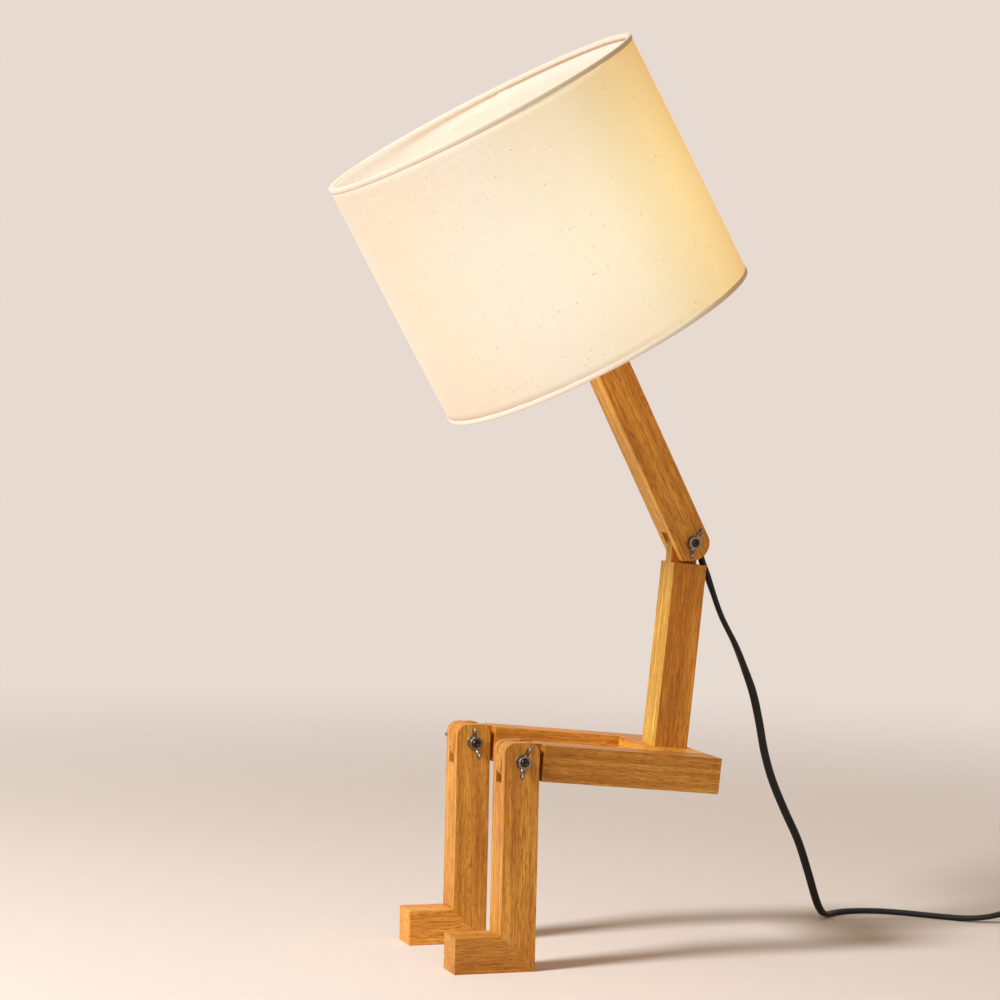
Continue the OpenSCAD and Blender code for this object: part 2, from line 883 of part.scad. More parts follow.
thigh(1);  // left_thigh
thigh(-1);  // right_thigh
seat_block();
seat_dowels();
torso();
torso_screws();
cord_clip();
shin(1);  // left_shin
foot(1);  // left_foot
foot_dowels(1);  // left_foot_dowels
knee_bolt(1, 3);  // left_knee_bolt
knee_washers(1);  // left_knee_washers
knee_wing_nut(1, -14);  // left_wing_nut
shin(-1);  // right_shin
foot(-1);  // right_foot
foot_dowels(-1);  // right_foot_dowels
knee_bolt(-1, 78);  // right_knee_bolt
knee_washers(-1);  // right_knee_washers
knee_wing_nut(-1, 12);  // right_wing_nut
upper_arm();
arm_cable();
elbow_bolt();
elbow_washers();
elbow_wing_nut();
holder_nipple();
holder_cap();
holder_core();
holder_shell();
holder_thread();
shade_ring_nut();
shade_fitter();
shade_lower_ring();
shade_upper_ring();
shade_lining();
shade_fabric();
bulb_cap();
bulb_contact();
bulb_glass();
mains_cord();
switch_base();
switch_cover();
switch_rocker();
switch_contacts();
switch_screws();
switch_sleeves();
switch_lead();
cord_coil();
coil_tie();
plug_lead();
plug_sleeve();
plug_body();
plug_pins();
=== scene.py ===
# %% [markdown]
# # A desk lamp in the shape of a seated wooden figure
# The lamp is a chain of square oak bars: two feet, two shins, two thighs, a seat block, a torso and a
# swinging upper arm that ends in a lampholder and a linen drum. Wing bolts clamp the knees and the elbow.
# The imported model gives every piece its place, so each step below dresses a piece of it: softer edges,
# cast wings, wound cord, woven cloth, and a material with the detail of the real finish.

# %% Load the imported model
import json
import math

import bmesh
import bpy
from mathutils import Matrix, Vector, noise

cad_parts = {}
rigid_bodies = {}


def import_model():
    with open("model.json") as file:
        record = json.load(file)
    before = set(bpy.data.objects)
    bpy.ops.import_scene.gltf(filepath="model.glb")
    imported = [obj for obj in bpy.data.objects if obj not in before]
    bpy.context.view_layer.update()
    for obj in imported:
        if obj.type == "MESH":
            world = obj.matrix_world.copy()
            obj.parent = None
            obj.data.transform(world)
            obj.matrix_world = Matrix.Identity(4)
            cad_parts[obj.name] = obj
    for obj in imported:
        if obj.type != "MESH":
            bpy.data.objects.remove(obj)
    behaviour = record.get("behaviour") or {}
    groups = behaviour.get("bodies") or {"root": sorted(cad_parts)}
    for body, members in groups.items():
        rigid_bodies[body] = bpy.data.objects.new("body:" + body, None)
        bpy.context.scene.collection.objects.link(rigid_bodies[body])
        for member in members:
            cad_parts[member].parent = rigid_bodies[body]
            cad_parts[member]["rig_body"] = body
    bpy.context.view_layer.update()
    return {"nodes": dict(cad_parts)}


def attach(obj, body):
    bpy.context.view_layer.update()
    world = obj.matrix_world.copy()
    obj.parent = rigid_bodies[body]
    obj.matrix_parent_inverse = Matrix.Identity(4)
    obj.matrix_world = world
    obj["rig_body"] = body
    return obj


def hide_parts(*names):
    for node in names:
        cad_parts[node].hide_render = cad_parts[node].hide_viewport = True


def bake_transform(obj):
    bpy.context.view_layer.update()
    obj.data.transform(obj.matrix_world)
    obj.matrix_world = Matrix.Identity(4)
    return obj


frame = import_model()
nodes = frame["nodes"]
scene = bpy.context.scene
MM = 0.001

# %% [markdown]
# ## The camera
# A long lens from the lamp's left side, about as high as its lampholder, looking slightly down. The
# directions are worked out from an azimuth, a pitch and a small roll, which are easier to read than a
# rotation matrix. A long lens keeps the square bars nearly parallel, as a product picture does.

# %% Place the camera
CAMERA_AT = Vector((1.89585, -0.66067, 0.38882))
azimuth, pitch, roll = math.radians(71.39), math.radians(2.54), math.radians(1.31)
back = Vector((
    math.sin(azimuth) * math.cos(pitch), -math.cos(azimuth) * math.cos(pitch), math.sin(pitch)))
level = Vector((math.cos(azimuth), math.sin(azimuth), 0))
upward = back.cross(level)
right = level * math.cos(roll) + upward * math.sin(roll)
above = upward * math.cos(roll) - level * math.sin(roll)
lens = bpy.data.cameras.new("camera")
lens.sensor_width, lens.lens = 36, 109.94
lens.clip_start, lens.clip_end = 0.05, 50
camera = bpy.data.objects.new("camera", lens)
camera.matrix_world = Matrix((
    (right.x, above.x, back.x, CAMERA_AT.x), (right.y, above.y, back.y, CAMERA_AT.y),
    (right.z, above.z, back.z, CAMERA_AT.z), (0, 0, 0, 1)))
scene.collection.objects.link(camera)
scene.camera = camera
print("camera at", tuple(round(c, 3) for c in CAMERA_AT), "lens", lens.lens, "mm")

# %% [markdown]
# ## Small helpers for node trees
# Shader trees and Geometry Nodes trees are both lists of nodes with links. One helper adds a node, sets
# its properties, and fills its sockets: a value is stored, and another node's socket is linked. The
# others are short names for the few kinds of node that the finishes are made of.


# %% Helpers for node trees
def add(tree, kind, inputs=None, **settings):
    made = tree.nodes.new(kind)
    for key, value in settings.items():
        setattr(made, key, value)
    for key, value in (inputs or {}).items():
        if isinstance(value, bpy.types.NodeSocket):
            tree.links.new(value, made.inputs[key])
        else:
            made.inputs[key].default_value = value
    return made


def calc(tree, operation, *values):
    """A maths node's result; a value may be a number or a socket."""
    return add(tree, "ShaderNodeMath", dict(enumerate(values)), operation=operation).outputs[0]


def product(tree, first, *others):
    for other in others:
        first = calc(tree, "MULTIPLY", first, other)
    return first


def measure(tree, operation, *vectors):
    """A distance, a length or a dot product of places and fixed vectors."""
    sockets = {i: v if isinstance(v, bpy.types.NodeSocket) else tuple(v) for i, v in enumerate(vectors)}
    return add(tree, "ShaderNodeVectorMath", sockets, operation=operation).outputs["Value"]


def fade_in(tree, value, low, high, top=1.0, curve="LINEAR"):
    """0 up to low, and top from high."""
    made = add(tree, "ShaderNodeMapRange", {
        "Value": value, "From Min": low, "From Max": high, "To Max": top}, interpolation_type=curve)
    return made.outputs[0]


def ramp(tree, value, *stops):
    """A colour ramp's result. Each stop is a place and a grey level or a colour."""
    made = add(tree, "ShaderNodeValToRGB", {0: value})
    band = made.color_ramp
    while len(band.elements) < len(stops):
        band.elements.new(0.5)
    for element, (place, colour) in zip(band.elements, stops):
        element.position = place
        shade = (colour,) * 3 if isinstance(colour, (int, float)) else colour
        element.color = (*shade, 1)
    return made.outputs[0]


def contrast(tree, value, low, high):
    """Black up to low, and white from high."""
    return ramp(tree, value, (low, 0.0), (high, 1.0))


def mixed(tree, share, low, high, blend="MIX"):
    """Two colours mixed by a share. Each may be a socket or a colour."""
    low, high = (c if isinstance(c, bpy.types.NodeSocket) else (*c, 1) for c in (low, high))
    made = add(tree, "ShaderNodeMix", {0: share, 6: low, 7: high}, data_type="RGBA", blend_type=blend)
    return made.outputs[2]


print("helpers for node trees ready")


# %% Helpers for patterns and materials
def in_space(tree):
    """Places in the piece's own space, which is the lamp's."""
    return add(tree, "ShaderNodeTexCoord").outputs["Object"]


def stretched(tree, vector, *scale):
    """The places scaled; a pattern on them is drawn out where the scale is small."""
    return add(tree, "ShaderNodeMapping", {"Vector": vector, "Scale": scale}).outputs[0]


def grain_noise(tree, vector, scale, detail=2.0, rough=0.5):
    made = add(tree, "ShaderNodeTexNoise", {
        "Vector": vector, "Scale": scale, "Detail": detail, "Roughness": rough})
    return made.outputs["Fac"]


def new_material(name, **sockets):
    """A material with one Principled shader, whose plain numbers and colours are set here."""
    made = bpy.data.materials.new(name)
    made.use_nodes = True
    shader = made.node_tree.nodes["Principled BSDF"]
    for key, value in sockets.items():
        shader.inputs[key.replace("_", " ")].default_value = value
    return made, made.node_tree, shader


def feed(shader, **patterns):
    """Links patterns to the shader's sockets."""
    for key, socket in patterns.items():
        shader.id_data.links.new(socket, shader.inputs[key.replace("_", " ")])


def bump(tree, shader, height, depth):
    made = add(tree, "ShaderNodeBump", {"Height": height, "Distance": depth, "Strength": 1.0})
    feed(shader, Normal=made.outputs[0])


print("helpers for materials ready")

# %% [markdown]
# ## Oiled oak
# Each bar is sawn from a plank, so its grain runs along it: wide soft growth rings, fine fibres, short
# dark pores and a few darker streaks. All of it is a pattern in space that is stretched along the bar.
# A Mapping node turns that pattern so that its Z follows the bar, and an own offset for each bar cuts a
# different piece out of the plank. End grain then shows by itself as arcs and dots.


# %% A material for one oak bar
PAINTED_FROM, PAINTED_TO = 0.6 * MM, 0.2 * MM  # depths where the painted light on a front face starts, and is whole


def oak(name, along, offset, tone, front_light):
    made, tree, shader = new_material(name, Roughness=0.5, Specular_IOR_Level=0.3)
    place = in_space(tree)
    turn = Vector(along).rotation_difference(Vector((0, 0, 1))).to_euler()
    plank = add(tree, "ShaderNodeMapping", {
        "Vector": place, "Rotation": turn, "Location": offset}).outputs[0]

    def drawn_out(factor, *fineness):
        return grain_noise(tree, stretched(tree, plank, 1, 1, factor), *fineness)

    def wood(*colour):
        return tuple(c * tone for c in colour)

    rings = add(tree, "ShaderNodeTexWave", {
        "Vector": stretched(tree, plank, 1, 1, 0.07), "Scale": 62.0, "Distortion": 3.2, "Detail": 2.0,
        "Detail Scale": 1.3}, wave_type="RINGS", rings_direction="Z", wave_profile="SAW").outputs["Fac"]
    cloud = contrast(tree, drawn_out(0.25, 34, 2), 0.3, 0.7)
    band = contrast(tree, drawn_out(0.03, 300, 3, 0.6), 0.3, 0.7)
    fibre = drawn_out(0.05, 1500, 3, 0.65)
    streak = contrast(tree, drawn_out(0.06, 760, 4, 0.62), 0.53, 0.68)
    pore = contrast(tree, drawn_out(0.12, 1500, 1.5), 0.56, 0.66)
    colour = mixed(tree, cloud, wood(0.52, 0.20, 0.019), wood(0.72, 0.34, 0.052))
    for share, pattern, low, high in (
            (0.4, ramp(tree, rings, (0.0, 0.0), (0.8, 1.0), (1.0, 0.3)),
             (0.68, 0.56, 0.45), (1.0, 1.0, 1.0)),
            (0.9, band, (0.78, 0.68, 0.55), (1.2, 1.25, 1.35)),
            (0.9, contrast(tree, fibre, 0.3, 0.7), (0.68, 0.56, 0.42), (1.3, 1.38, 1.5))):
        colour = mixed(tree, share, colour, mixed(tree, pattern, low, high), "MULTIPLY")
    for marks, paint in ((streak, (*wood(0.34, 0.10), 0.010)), (pore, (*wood(0.24, 0.06), 0.006))):
        colour = mixed(tree, calc(tree, "MULTIPLY", marks, 0.5), colour, paint)
    # Painted light: a thin skin at the front face is painted paler, for the lamp's glow that falls on it.
    if front_light:
        front, face, paler = front_light
        depth = measure(tree, "DOT_PRODUCT", place, front)
        colour = mixed(tree, fade_in(tree, depth, face - PAINTED_FROM, face - PAINTED_TO), colour, paler,
                       "MULTIPLY")
    feed(shader, Base_Color=colour, Roughness=calc(tree, "MULTIPLY_ADD", fibre, 0.22, 0.34))
    bump(tree, shader, calc(tree, "SUBTRACT", calc(tree, "MULTIPLY", fibre, 0.3), pore), 0.12 * MM)
    return made


print("oak ready")

# %% [markdown]
# ## The plain finishes
# Nickel, zinc-plated steel, brass, moulded plastic and the cord's sheath differ in colour, gloss and in
# the size of their unevenness. One function makes them all: a slow noise varies the tone and the gloss,
# and a fine one gives the surface its cast, drawn or moulded grain.


# %% A function for the plain finishes
def finish(name, dark, light, fineness, rough, depth, **sockets):
    """Its colours, its grain's fineness, its least and most roughness, and its bump's depth in mm."""
    made, tree, shader = new_material(name, **sockets)
    place = in_space(tree)
    slow, fine = grain_noise(tree, place, fineness / 14, 3), grain_noise(tree, place, fineness, 3, 0.6)
    uneven = calc(tree, "MULTIPLY_ADD", fine, 0.4, calc(tree, "MULTIPLY", slow, 0.6))
    feed(shader, Base_Color=mixed(tree, contrast(tree, uneven, 0.36, 0.64), dark, light),
         Roughness=calc(tree, "MULTIPLY_ADD", slow, rough[1] - rough[0], rough[0]))
    bump(tree, shader, fine, depth * MM)
    return made


METAL = {"Metallic": 1.0}
# Nickel's colours are painted dark: a painted reflection of the dark room around the metal.
NICKEL = finish("nickel", (0.13, 0.105, 0.08), (0.30, 0.26, 0.215), 900, (0.18, 0.4), 0.03, **METAL)
BOLT = finish("dark_bolt", (0.02, 0.017, 0.015), (0.09, 0.075, 0.062), 1300, (0.2, 0.4), 0.03, **METAL)
STEEL = finish("zinc_steel", (0.20, 0.19, 0.18), (0.34, 0.33, 0.32), 1400, (0.3, 0.5), 0.02, **METAL)
WIRE = finish("white_wire", (0.78, 0.76, 0.72), (0.86, 0.85, 0.81), 700, (0.35, 0.5), 0.02)
BRASS = finish("brass", (0.52, 0.34, 0.11), (0.74, 0.53, 0.22), 1100, (0.2, 0.42), 0.02, **METAL)
BEECH = finish("beech", (0.50, 0.30, 0.13), (0.68, 0.46, 0.24), 500, (0.55, 0.7), 0.06)
SHEATH = finish("cord_sheath", (0.006, 0.005, 0.005), (0.012, 0.010, 0.009), 1600, (0.45, 0.6), 0.03,
                Specular_IOR_Level=0.3)
BLACK = finish("black_plastic", (0.010, 0.010, 0.010), (0.020, 0.019, 0.018), 2200, (0.42, 0.6), 0.04)
HOLDER = finish("holder_plastic", (0.74, 0.71, 0.64), (0.83, 0.81, 0.74), 1500, (0.25, 0.4), 0.01)
PORCELAIN = finish("contact_block", (0.80, 0.79, 0.75), (0.88, 0.87, 0.84), 600, (0.18, 0.3), 0.01)
SEAL = finish("black_glass", (0.012, 0.010, 0.016), (0.03, 0.025, 0.035), 500, (0.08, 0.2), 0.01)
BLADE = finish("plug_nickel", (0.60, 0.58, 0.55), (0.76, 0.74, 0.71), 1200, (0.14, 0.3), 0.01, **METAL)
print("plain finishes made")

# %% [markdown]
# ## Helpers for meshes
# Every finished piece keeps its object at the origin with its place in its mesh. A piece made here is
# joined to a body of the model with `attach`, and `stands_for` hides the model's own nodes that it stands
# for.


# %% Helpers for meshes
def piece_from(name, mesh, material):
    made = bpy.data.objects.new(name, mesh)
    scene.collection.objects.link(made)
    mesh.materials.clear()
    mesh.materials.append(material)
    mesh.polygons.foreach_set("use_smooth", [True] * len(mesh.polygons))
    return made


def stands_for(made, *names):
    """The piece rides on its nodes' body and hides them."""
    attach(made, nodes[names[0]]["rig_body"])
    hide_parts(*names)
    return made


def goes_with(made, name):
    """An added detail that rides with a node's body."""
    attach(made, nodes[name]["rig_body"])
    return made


def mesh_of(name, points, faces):
    """A mesh whose faces all point outwards."""
    mesh = bpy.data.meshes.new(name)
    mesh.from_pydata([tuple(p) for p in points], [], faces)
    shape = bmesh.new()
    shape.from_mesh(mesh)
    bmesh.ops.recalc_face_normals(shape, faces=shape.faces)
    shape.to_mesh(mesh)
    shape.free()
    return mesh


def settled(made, *steps):
    """Applies modifiers, each a type with its settings, and leaves a plain mesh."""
    for kind, settings in steps:
        modifier = made.modifiers.new(kind, kind)
        for key, value in settings.items():
            setattr(modifier, key, value)
    graph = bpy.context.evaluated_depsgraph_get()
    mesh = bpy.data.meshes.new_from_object(made.evaluated_get(graph), depsgraph=graph)
    made.modifiers.clear()
    made.data = mesh
    return made


print("mesh helpers ready")

# %% [markdown]
# ## The flat mains cord
# A lamp this light has a flat two-core cord, wider than it is thick. It leaves the elbow with its width
# across the slot, so that from the side it looks thin, and it turns on its way down, so that lower down
# its width shows. Then it lies flat. A tube swept by hand along a smooth line gives that turn exactly: at
# each point an oval ring stands square to the line, turned by the angle there.


# %% Smooth lines
CORD_W, CORD_T, CORD_SIDES = 5.6 * MM, 3.8 * MM, 16
SOLE = CORD_T / 2  # the height of a lying cord's middle
NO_FLOOR = -1


def smooth_line(points, steps, floor=SOLE):
    """A line in metres through points in mm, which never dips under a cord that lies on the floor."""
    points = [Vector(p) * MM for p in points]
    line = []
    for i in range(len(points) - 1):
        a, b = points[max(i - 1, 0)], points[i]
        c, d = points[i + 1], points[min(i + 2, len(points) - 1)]
        for t in [j / steps for j in range(steps)]:
            line.append(0.5 * (2 * b + (c - a) * t + (2 * a - 5 * b + 4 * c - d) * t * t
                               + (3 * b - a - 3 * c + d) * t * t * t))
    line.append(points[-1])
    return [Vector((p.x, p.y, max(p.z, floor))) for p in line]


def run_lengths(line):
    total = [0.0]
    for a, b in zip(line, line[1:]):
        total.append(total[-1] + (b - a).length)
    return total


def between(table, x):
    """The value at x on straight lines between the table's (x, value) pairs."""
    for (x0, v0), (x1, v1) in zip(table, table[1:]):
        if x <= x1:
            return v0 + (v1 - v0) * max(0.0, (x - x0) / (x1 - x0))
    return table[-1][1]


print("flat cord", CORD_W, "by", CORD_T, "m")


# %% The flat tube
def flat_tube(name, line, sideways, turns=((0, 0), (1, 0))):
    """A flat cord along a line. sideways gives its width's direction, and turns the angle on it."""
    points, faces, sides = [], [], CORD_SIDES
    places = run_lengths(line)
    for i, p in enumerate(line):
        along = (line[min(i + 1, len(line) - 1)] - line[max(i - 1, 0)]).normalized()
        wide = sideways(along)
        wide = (wide - along * wide.dot(along)).normalized()
        high = wide.cross(along)
        turn = math.radians(between(turns, places[i] / places[-1]))
        wide, high = (wide * math.cos(turn) + high * math.sin(turn),
                      high * math.cos(turn) - wide * math.sin(turn))
        for k in range(sides):
            x, y = math.cos(2 * math.pi * k / sides), math.sin(2 * math.pi * k / sides)
            out = 0 if abs(x) < 1e-6 else math.copysign((CORD_W - CORD_T) / 2, x)
            points.append(p + wide * out + (wide * x + high * y) * CORD_T / 2)
    for i in range(len(line) - 1):
        for k in range(sides):
            a, b = i * sides + k, i * sides + (k + 1) % sides
            faces.append((a, b, b + sides, a + sides))
    faces.append(tuple(range(sides)))
    faces.append(tuple(range(len(points) - sides, len(points))))
    return piece_from(name, mesh_of(name, points, faces), SHEATH)


def across_x(along):
    return Vector((1, 0, 0))


def lying(along):
    """Level, and along X where the cord hangs straight down."""
    return along.cross(Vector((0, 0.02, 1)))


print("a flat tube has", CORD_SIDES, "sides")

# %% [markdown]
# ## The loose stretch of cord
# From the clip in the elbow's slot the cord sags backwards to the table and runs to its switch. The
# points are the model's own route. Between them a smooth line is drawn.

# %% The cord from the elbow to the switch
MAIN_ROUTE = [
    (0, 118.9, 272.2), (0, 119.8, 266.3), (-0.4, 122.3, 259), (-1, 125.8, 251.5), (-2.6, 131, 239.5),
    (-5, 139.2, 222), (-9, 151.2, 203), (-13.5, 161, 185), (-18.5, 169.6, 168), (-24, 177, 148),
    (-30, 184, 127), (-36, 193.2, 106), (-43, 206, 84), (-50, 220, 61.5), (-56.5, 231, 39),
    (-62, 239.2, 21), (-66.5, 244.9, 11), (-73.2, 251.9, 4.4), (-83, 262, 1.9), (-89.3, 275, 1.9),
    (-89.3, 289, 1.9), (-85, 302.5, 1.9), (-75.5, 316.5, 1.9), (-64, 328.6, 1.9), (-52.5, 340.6, 2),
    (-42.5, 352, 2.6), (-36, 362.4, 4.3), (-33.3, 372.5, 6.5), (-33, 380.5, 7.7), (-33, 388, 8)]
MAIN_TURNS = ((0, 0), (0.03, 0), (0.085, -30), (0.15, -27), (0.2, -8), (0.23, 15), (0.28, 45),
              (0.38, 48), (0.56, 44), (0.64, 8), (0.68, 0), (1, 0))
main_line = smooth_line(MAIN_ROUTE, 6)
main_cord = stands_for(flat_tube("mains_cord_flat", main_line, lying, MAIN_TURNS), "mains_cord")

# %% [markdown]
# ## The coiled rest of the cord
# The length that isn't needed is wound flat on flat in a neat coil of six and a half turns, four layers
# high. The radius swings between an inner and an outer turn, and each layer climbs one thickness on a
# quarter turn. Written as a rule, that takes a few lines.

# %% The cord from the switch through the coil to the plug
COIL_AT, COIL_OUT, COIL_IN, COIL_FOOT = (0, 500), 32.9, 25.1, 1.9
LAYERS, LAYER_H, COIL_STEPS, CLIMB_TURN, SPIRAL_TURN = 4, 3.8, 16, 0.25, 1.375


def coil_points():
    points, turn, height, radius = [], 0.0, COIL_FOOT, COIL_OUT
    for layer in range(LAYERS):
        target = COIL_IN if layer % 2 == 0 else COIL_OUT
        climb = LAYER_H if layer else 0.0
        for length, rise, drift in ((CLIMB_TURN, climb, 0.0), (SPIRAL_TURN, 0.0, target - radius)):
            count = round(length * COIL_STEPS)
            for k in range(1, count + 1):
                share = k / count
                eased = share * share * (3 - 2 * share) if rise else share
                angle = math.pi - 2 * math.pi * (turn + length * share)
                reach = radius + drift * share
                points.append((COIL_AT[0] + reach * math.cos(angle),
                               COIL_AT[1] + reach * math.sin(angle), height + rise * eased))
            turn, height, radius = turn + length, height + rise, radius + drift
    return points


SWITCH_ROUTE = [(-33, 462, 8), (-33, 466, 8), (-33, 472, 7.1), (-33, 478, 4.9), (-33, 484, 2.8),
                (-33, 490, 1.9), (-32.9, 500, 1.9)]
PLUG_ROUTE = [(33, 492, 13.3), (32.6, 484, 13.1), (31.2, 478, 12.4), (29, 472, 11.2), (26.6, 466, 9.7),
              (24.4, 460, 8.3), (22.7, 454, 7.3), (22, 449.5, 7), (22, 445, 7)]
rest_line = smooth_line(SWITCH_ROUTE + coil_points() + PLUG_ROUTE, 3)
rest_cord = stands_for(flat_tube("coiled_cord_flat", rest_line, lying),
                       "cord_coil", "switch_lead", "plug_lead")

# %% [markdown]
# ## The cord's short way over the elbow
# Inside the arm the same cord runs up to the lampholder. Between the arm and the clip on the torso it
# crosses the elbow's axis, so this short stretch is blended between the two bodies and bends with them.

# %% The cord inside the arm and over the elbow
ELBOW = Vector((0, 110.038, 273.136)) * MM
ARM_LEAN, SHADE_TILT = math.radians(27.2), math.radians(29.9)
in_arm = Matrix.Translation(ELBOW) @ Matrix.Rotation(ARM_LEAN, 4, "X")
ARM_ROUTE = [(0, 0, 147.8), (0, 0.4, 121.4), (0, 0.4, 90), (0, 0.4, 60), (0, 0.4, 36), (0, 0.4, 26),
             (0, 1.8, 21.3), (0, 4.6, 17.8), (0, 7.8, 15.2), (0, 9.7, 12)]
arm_line = [in_arm @ p for p in smooth_line(ARM_ROUTE, 4, NO_FLOOR)]
stands_for(flat_tube("arm_cord_flat", arm_line, across_x), "arm_cable")
tail = (arm_line[-1] - arm_line[-2]).normalized()
OVER_ELBOW = [arm_line[-1] / MM - tail * 0.8, arm_line[-1] / MM + tail, (0, 115.55, 283.84),
              (0, 117.66, 279.3), (0, 118.7, 273.7), (0, 119, 271.4)]
over_line = smooth_line(OVER_ELBOW, 6, NO_FLOOR)
over_elbow = flat_tube("elbow_cord_flat", over_line, across_x)
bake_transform(over_elbow)
print("over the elbow:", round(run_lengths(over_line)[-1], 4), "m")

# %% [markdown]
# ## Softened copies of the sawn and moulded pieces
# The model's solids have knife edges. Real bars are sanded, and plastic leaves its mould with rounded
# corners. A copy of a node's mesh is merged into one surface, its coplanar triangles are dissolved into
# whole faces, and its sharp edges are bevelled. The node's own mesh is left as it is.


# %% A function that dresses a node
WELD, COPLANAR = 0.002 * MM, math.radians(0.6)


def dressed(name, material, width, steps=3, sharp=24):
    """The node's copy with edges sharper than `sharp` degrees bevelled `width` mm wide."""
    shape = bmesh.new()
    shape.from_mesh(nodes[name].data)
    bmesh.ops.remove_doubles(shape, verts=shape.verts, dist=WELD)
    bmesh.ops.dissolve_limit(shape, angle_limit=COPLANAR, verts=shape.verts, edges=shape.edges)
    mesh = bpy.data.meshes.new(name + "_dressed")
    shape.to_mesh(mesh)
    shape.free()
    made = piece_from(name + "_dressed", mesh, material)
    settled(made, ("BEVEL", {"width": width * MM, "segments": steps, "limit_method": "ANGLE",
                             "angle_limit": math.radians(sharp), "miter_outer": "MITER_ARC"}))
    made.data.polygons.foreach_set("use_smooth", [True] * len(made.data.polygons))
    modifier = made.modifiers.new("even shading", "WEIGHTED_NORMAL")
    modifier.keep_sharp = False
    return stands_for(made, name)


print("ready to dress nodes")

# %% [markdown]
# ## The oak bars
# Nine bars, each with its own cut of oak. The grain runs along the bar: up the shins and the torso, along
# the feet and the thighs, across in the seat block, and along the leaning arm. On the front faces of the
# torso and the arm, a thin paler skin of painted light stands for the lamp's glow that falls on them.

# %% Dress the oak bars
SLOPE, BAR_EDGE = math.radians(5.1), 0.7
along_seat = (0, math.cos(SLOPE), -math.sin(SLOPE))
up_torso = (0, math.sin(SLOPE), math.cos(SLOPE))
up_arm = (0, -math.sin(ARM_LEAN), math.cos(ARM_LEAN))
# Each tone is partly the cut's own and partly painted light: the far leg is lighter, the near thigh
# darker.
BARS = {  # the grain's direction, the offset into the plank, and the tone, partly painted light
    "left_thigh": (along_seat, (0.031, 0.017, 0.40), 0.86),
    "right_thigh": (along_seat, (0.022, 0.036, 1.30), 1.2),
    "seat_block": ((1, 0, 0), (0.028, 0.012, 2.10), 1.12),
    "torso": (up_torso, (0.034, -0.090, 3.20), 1.12),
    "left_shin": ((0, 0, 1), (-0.020, 0.046, 4.70), 1.0),
    "right_shin": ((0, 0, 1), (0.075, 0.040, 5.30), 1.05),
    "left_foot": ((0, 1, 0), (-0.030, 0.016, 6.20), 0.96),
    "right_foot": ((0, 1, 0), (0.078, 0.021, 7.40), 1.28),
    "upper_arm": (up_arm, (0.030, -0.060, 8.10), 1.16)}
FRONT_LIGHT = {"torso": (1.0, 1.3, 1.4), "upper_arm": (1.3, 1.6, 1.5)}  # how much paler the painted light makes the front faces
for bar, (grain, offset, tone) in BARS.items():
    front_light = None
    if bar in FRONT_LIGHT:
        front = Vector((1, 0, 0)).cross(Vector(grain))
        face = max(front.dot(vertex.co) for vertex in nodes[bar].data.vertices)
        front_light = (front, face, FRONT_LIGHT[bar])
    made = dressed(bar, oak("oak_" + bar, grain, offset, tone, front_light), BAR_EDGE)
    print(bar, "faces:", len(made.data.polygons))

# %% [markdown]
# ## Turned pieces
# Bolts, the bulb, collars and cups are all turned around an axis. `turned` spins an outline of radius and
# height pairs in mm. Where the outline touches the axis, a single point closes the end.


# %% Functions for turned pieces
EDGE_SHARE, ON_AXIS = 0.45, 1e-4


def softened(outline, radius, steps=4, closed=False):
    """The outline with the corners between its ends rounded, as far as its edges are long enough."""
    points, result = [Vector((r, z, 0)) for r, z in outline], []
    for i, p in enumerate(points):
        if not closed and i in (0, len(points) - 1):
            result.append(p)
            continue
        a, b = points[i - 1], points[(i + 1) % len(points)]
        cut = min(radius, (a - p).length * EDGE_SHARE, (b - p).length * EDGE_SHARE)
        start, end = p + (a - p).normalized() * cut, p + (b - p).normalized() * cut
        for k in range(steps + 1):
            t = k / steps
            result.append(start * (1 - t) ** 2 + p * 2 * t * (1 - t) + end * t * t)
    return [(p.x, p.y) for p in result]


def turned(name, outline, place, steps, closed=False):
    """A mesh spun around its Z and moved by place; a closed outline makes a ring."""
    points, faces, rows = [], [], []
    angles = [2 * math.pi * k / steps for k in range(steps)]
    for r, z in outline:
        if r < ON_AXIS:
            rows.append([len(points)] * steps)
            points.append(Vector((0, 0, z * MM)))
            continue
        rows.append(list(range(len(points), len(points) + steps)))
        points += [Vector((r * MM * math.cos(a), r * MM * math.sin(a), z * MM)) for a in angles]
    for low, high in list(zip(rows, rows[1:])) + ([(rows[-1], rows[0])] if closed else []):
        for k in range(steps):
            corners = [low[k], low[(k + 1) % steps], high[(k + 1) % steps], high[k]]
            corners = [c for j, c in enumerate(corners) if c not in corners[:j]]
            if len(corners) > 2:
                faces.append(corners)
    return mesh_of(name, [place @ p for p in points], faces)


def turned_piece(name, outline, material, place, steps):
    return piece_from(name, turned(name, outline, place, steps), material)


def raised(place, z):
    """The place moved z mm along its own Z."""
    return place @ Matrix.Translation((0, 0, z * MM))


print("ready to turn pieces")

# %% [markdown]
# ## Wing nuts and winged bolt heads
# A wing nut is cast: a round hub with two ears that narrow at the hub and flare to round tips, all
# flowing into each other. The hub and the ears are made as closed shapes that overlap, then a voxel
# remesh fuses them into one skin, and a smooth rounds the seam as a casting does.


# %% Functions for the cast wings
HUB_H, HUB_R, FOOT_R, BORE_R = 4.8, 4.3, 4.6, 2.575
EAR = [  # distance from the axis, height of the middle, half height, half thickness
    (2.9, 2.3, 1.7, 1.6), (4.2, 2.6, 1.8, 1.5), (5.5, 3.4, 2.0, 1.4), (6.8, 4.6, 2.6, 1.35),
    (8.0, 5.5, 3.2, 1.3), (9.2, 5.8, 3.1, 1.25), (10.2, 5.9, 2.3, 1.1), (10.8, 5.9, 1.2, 0.7)]


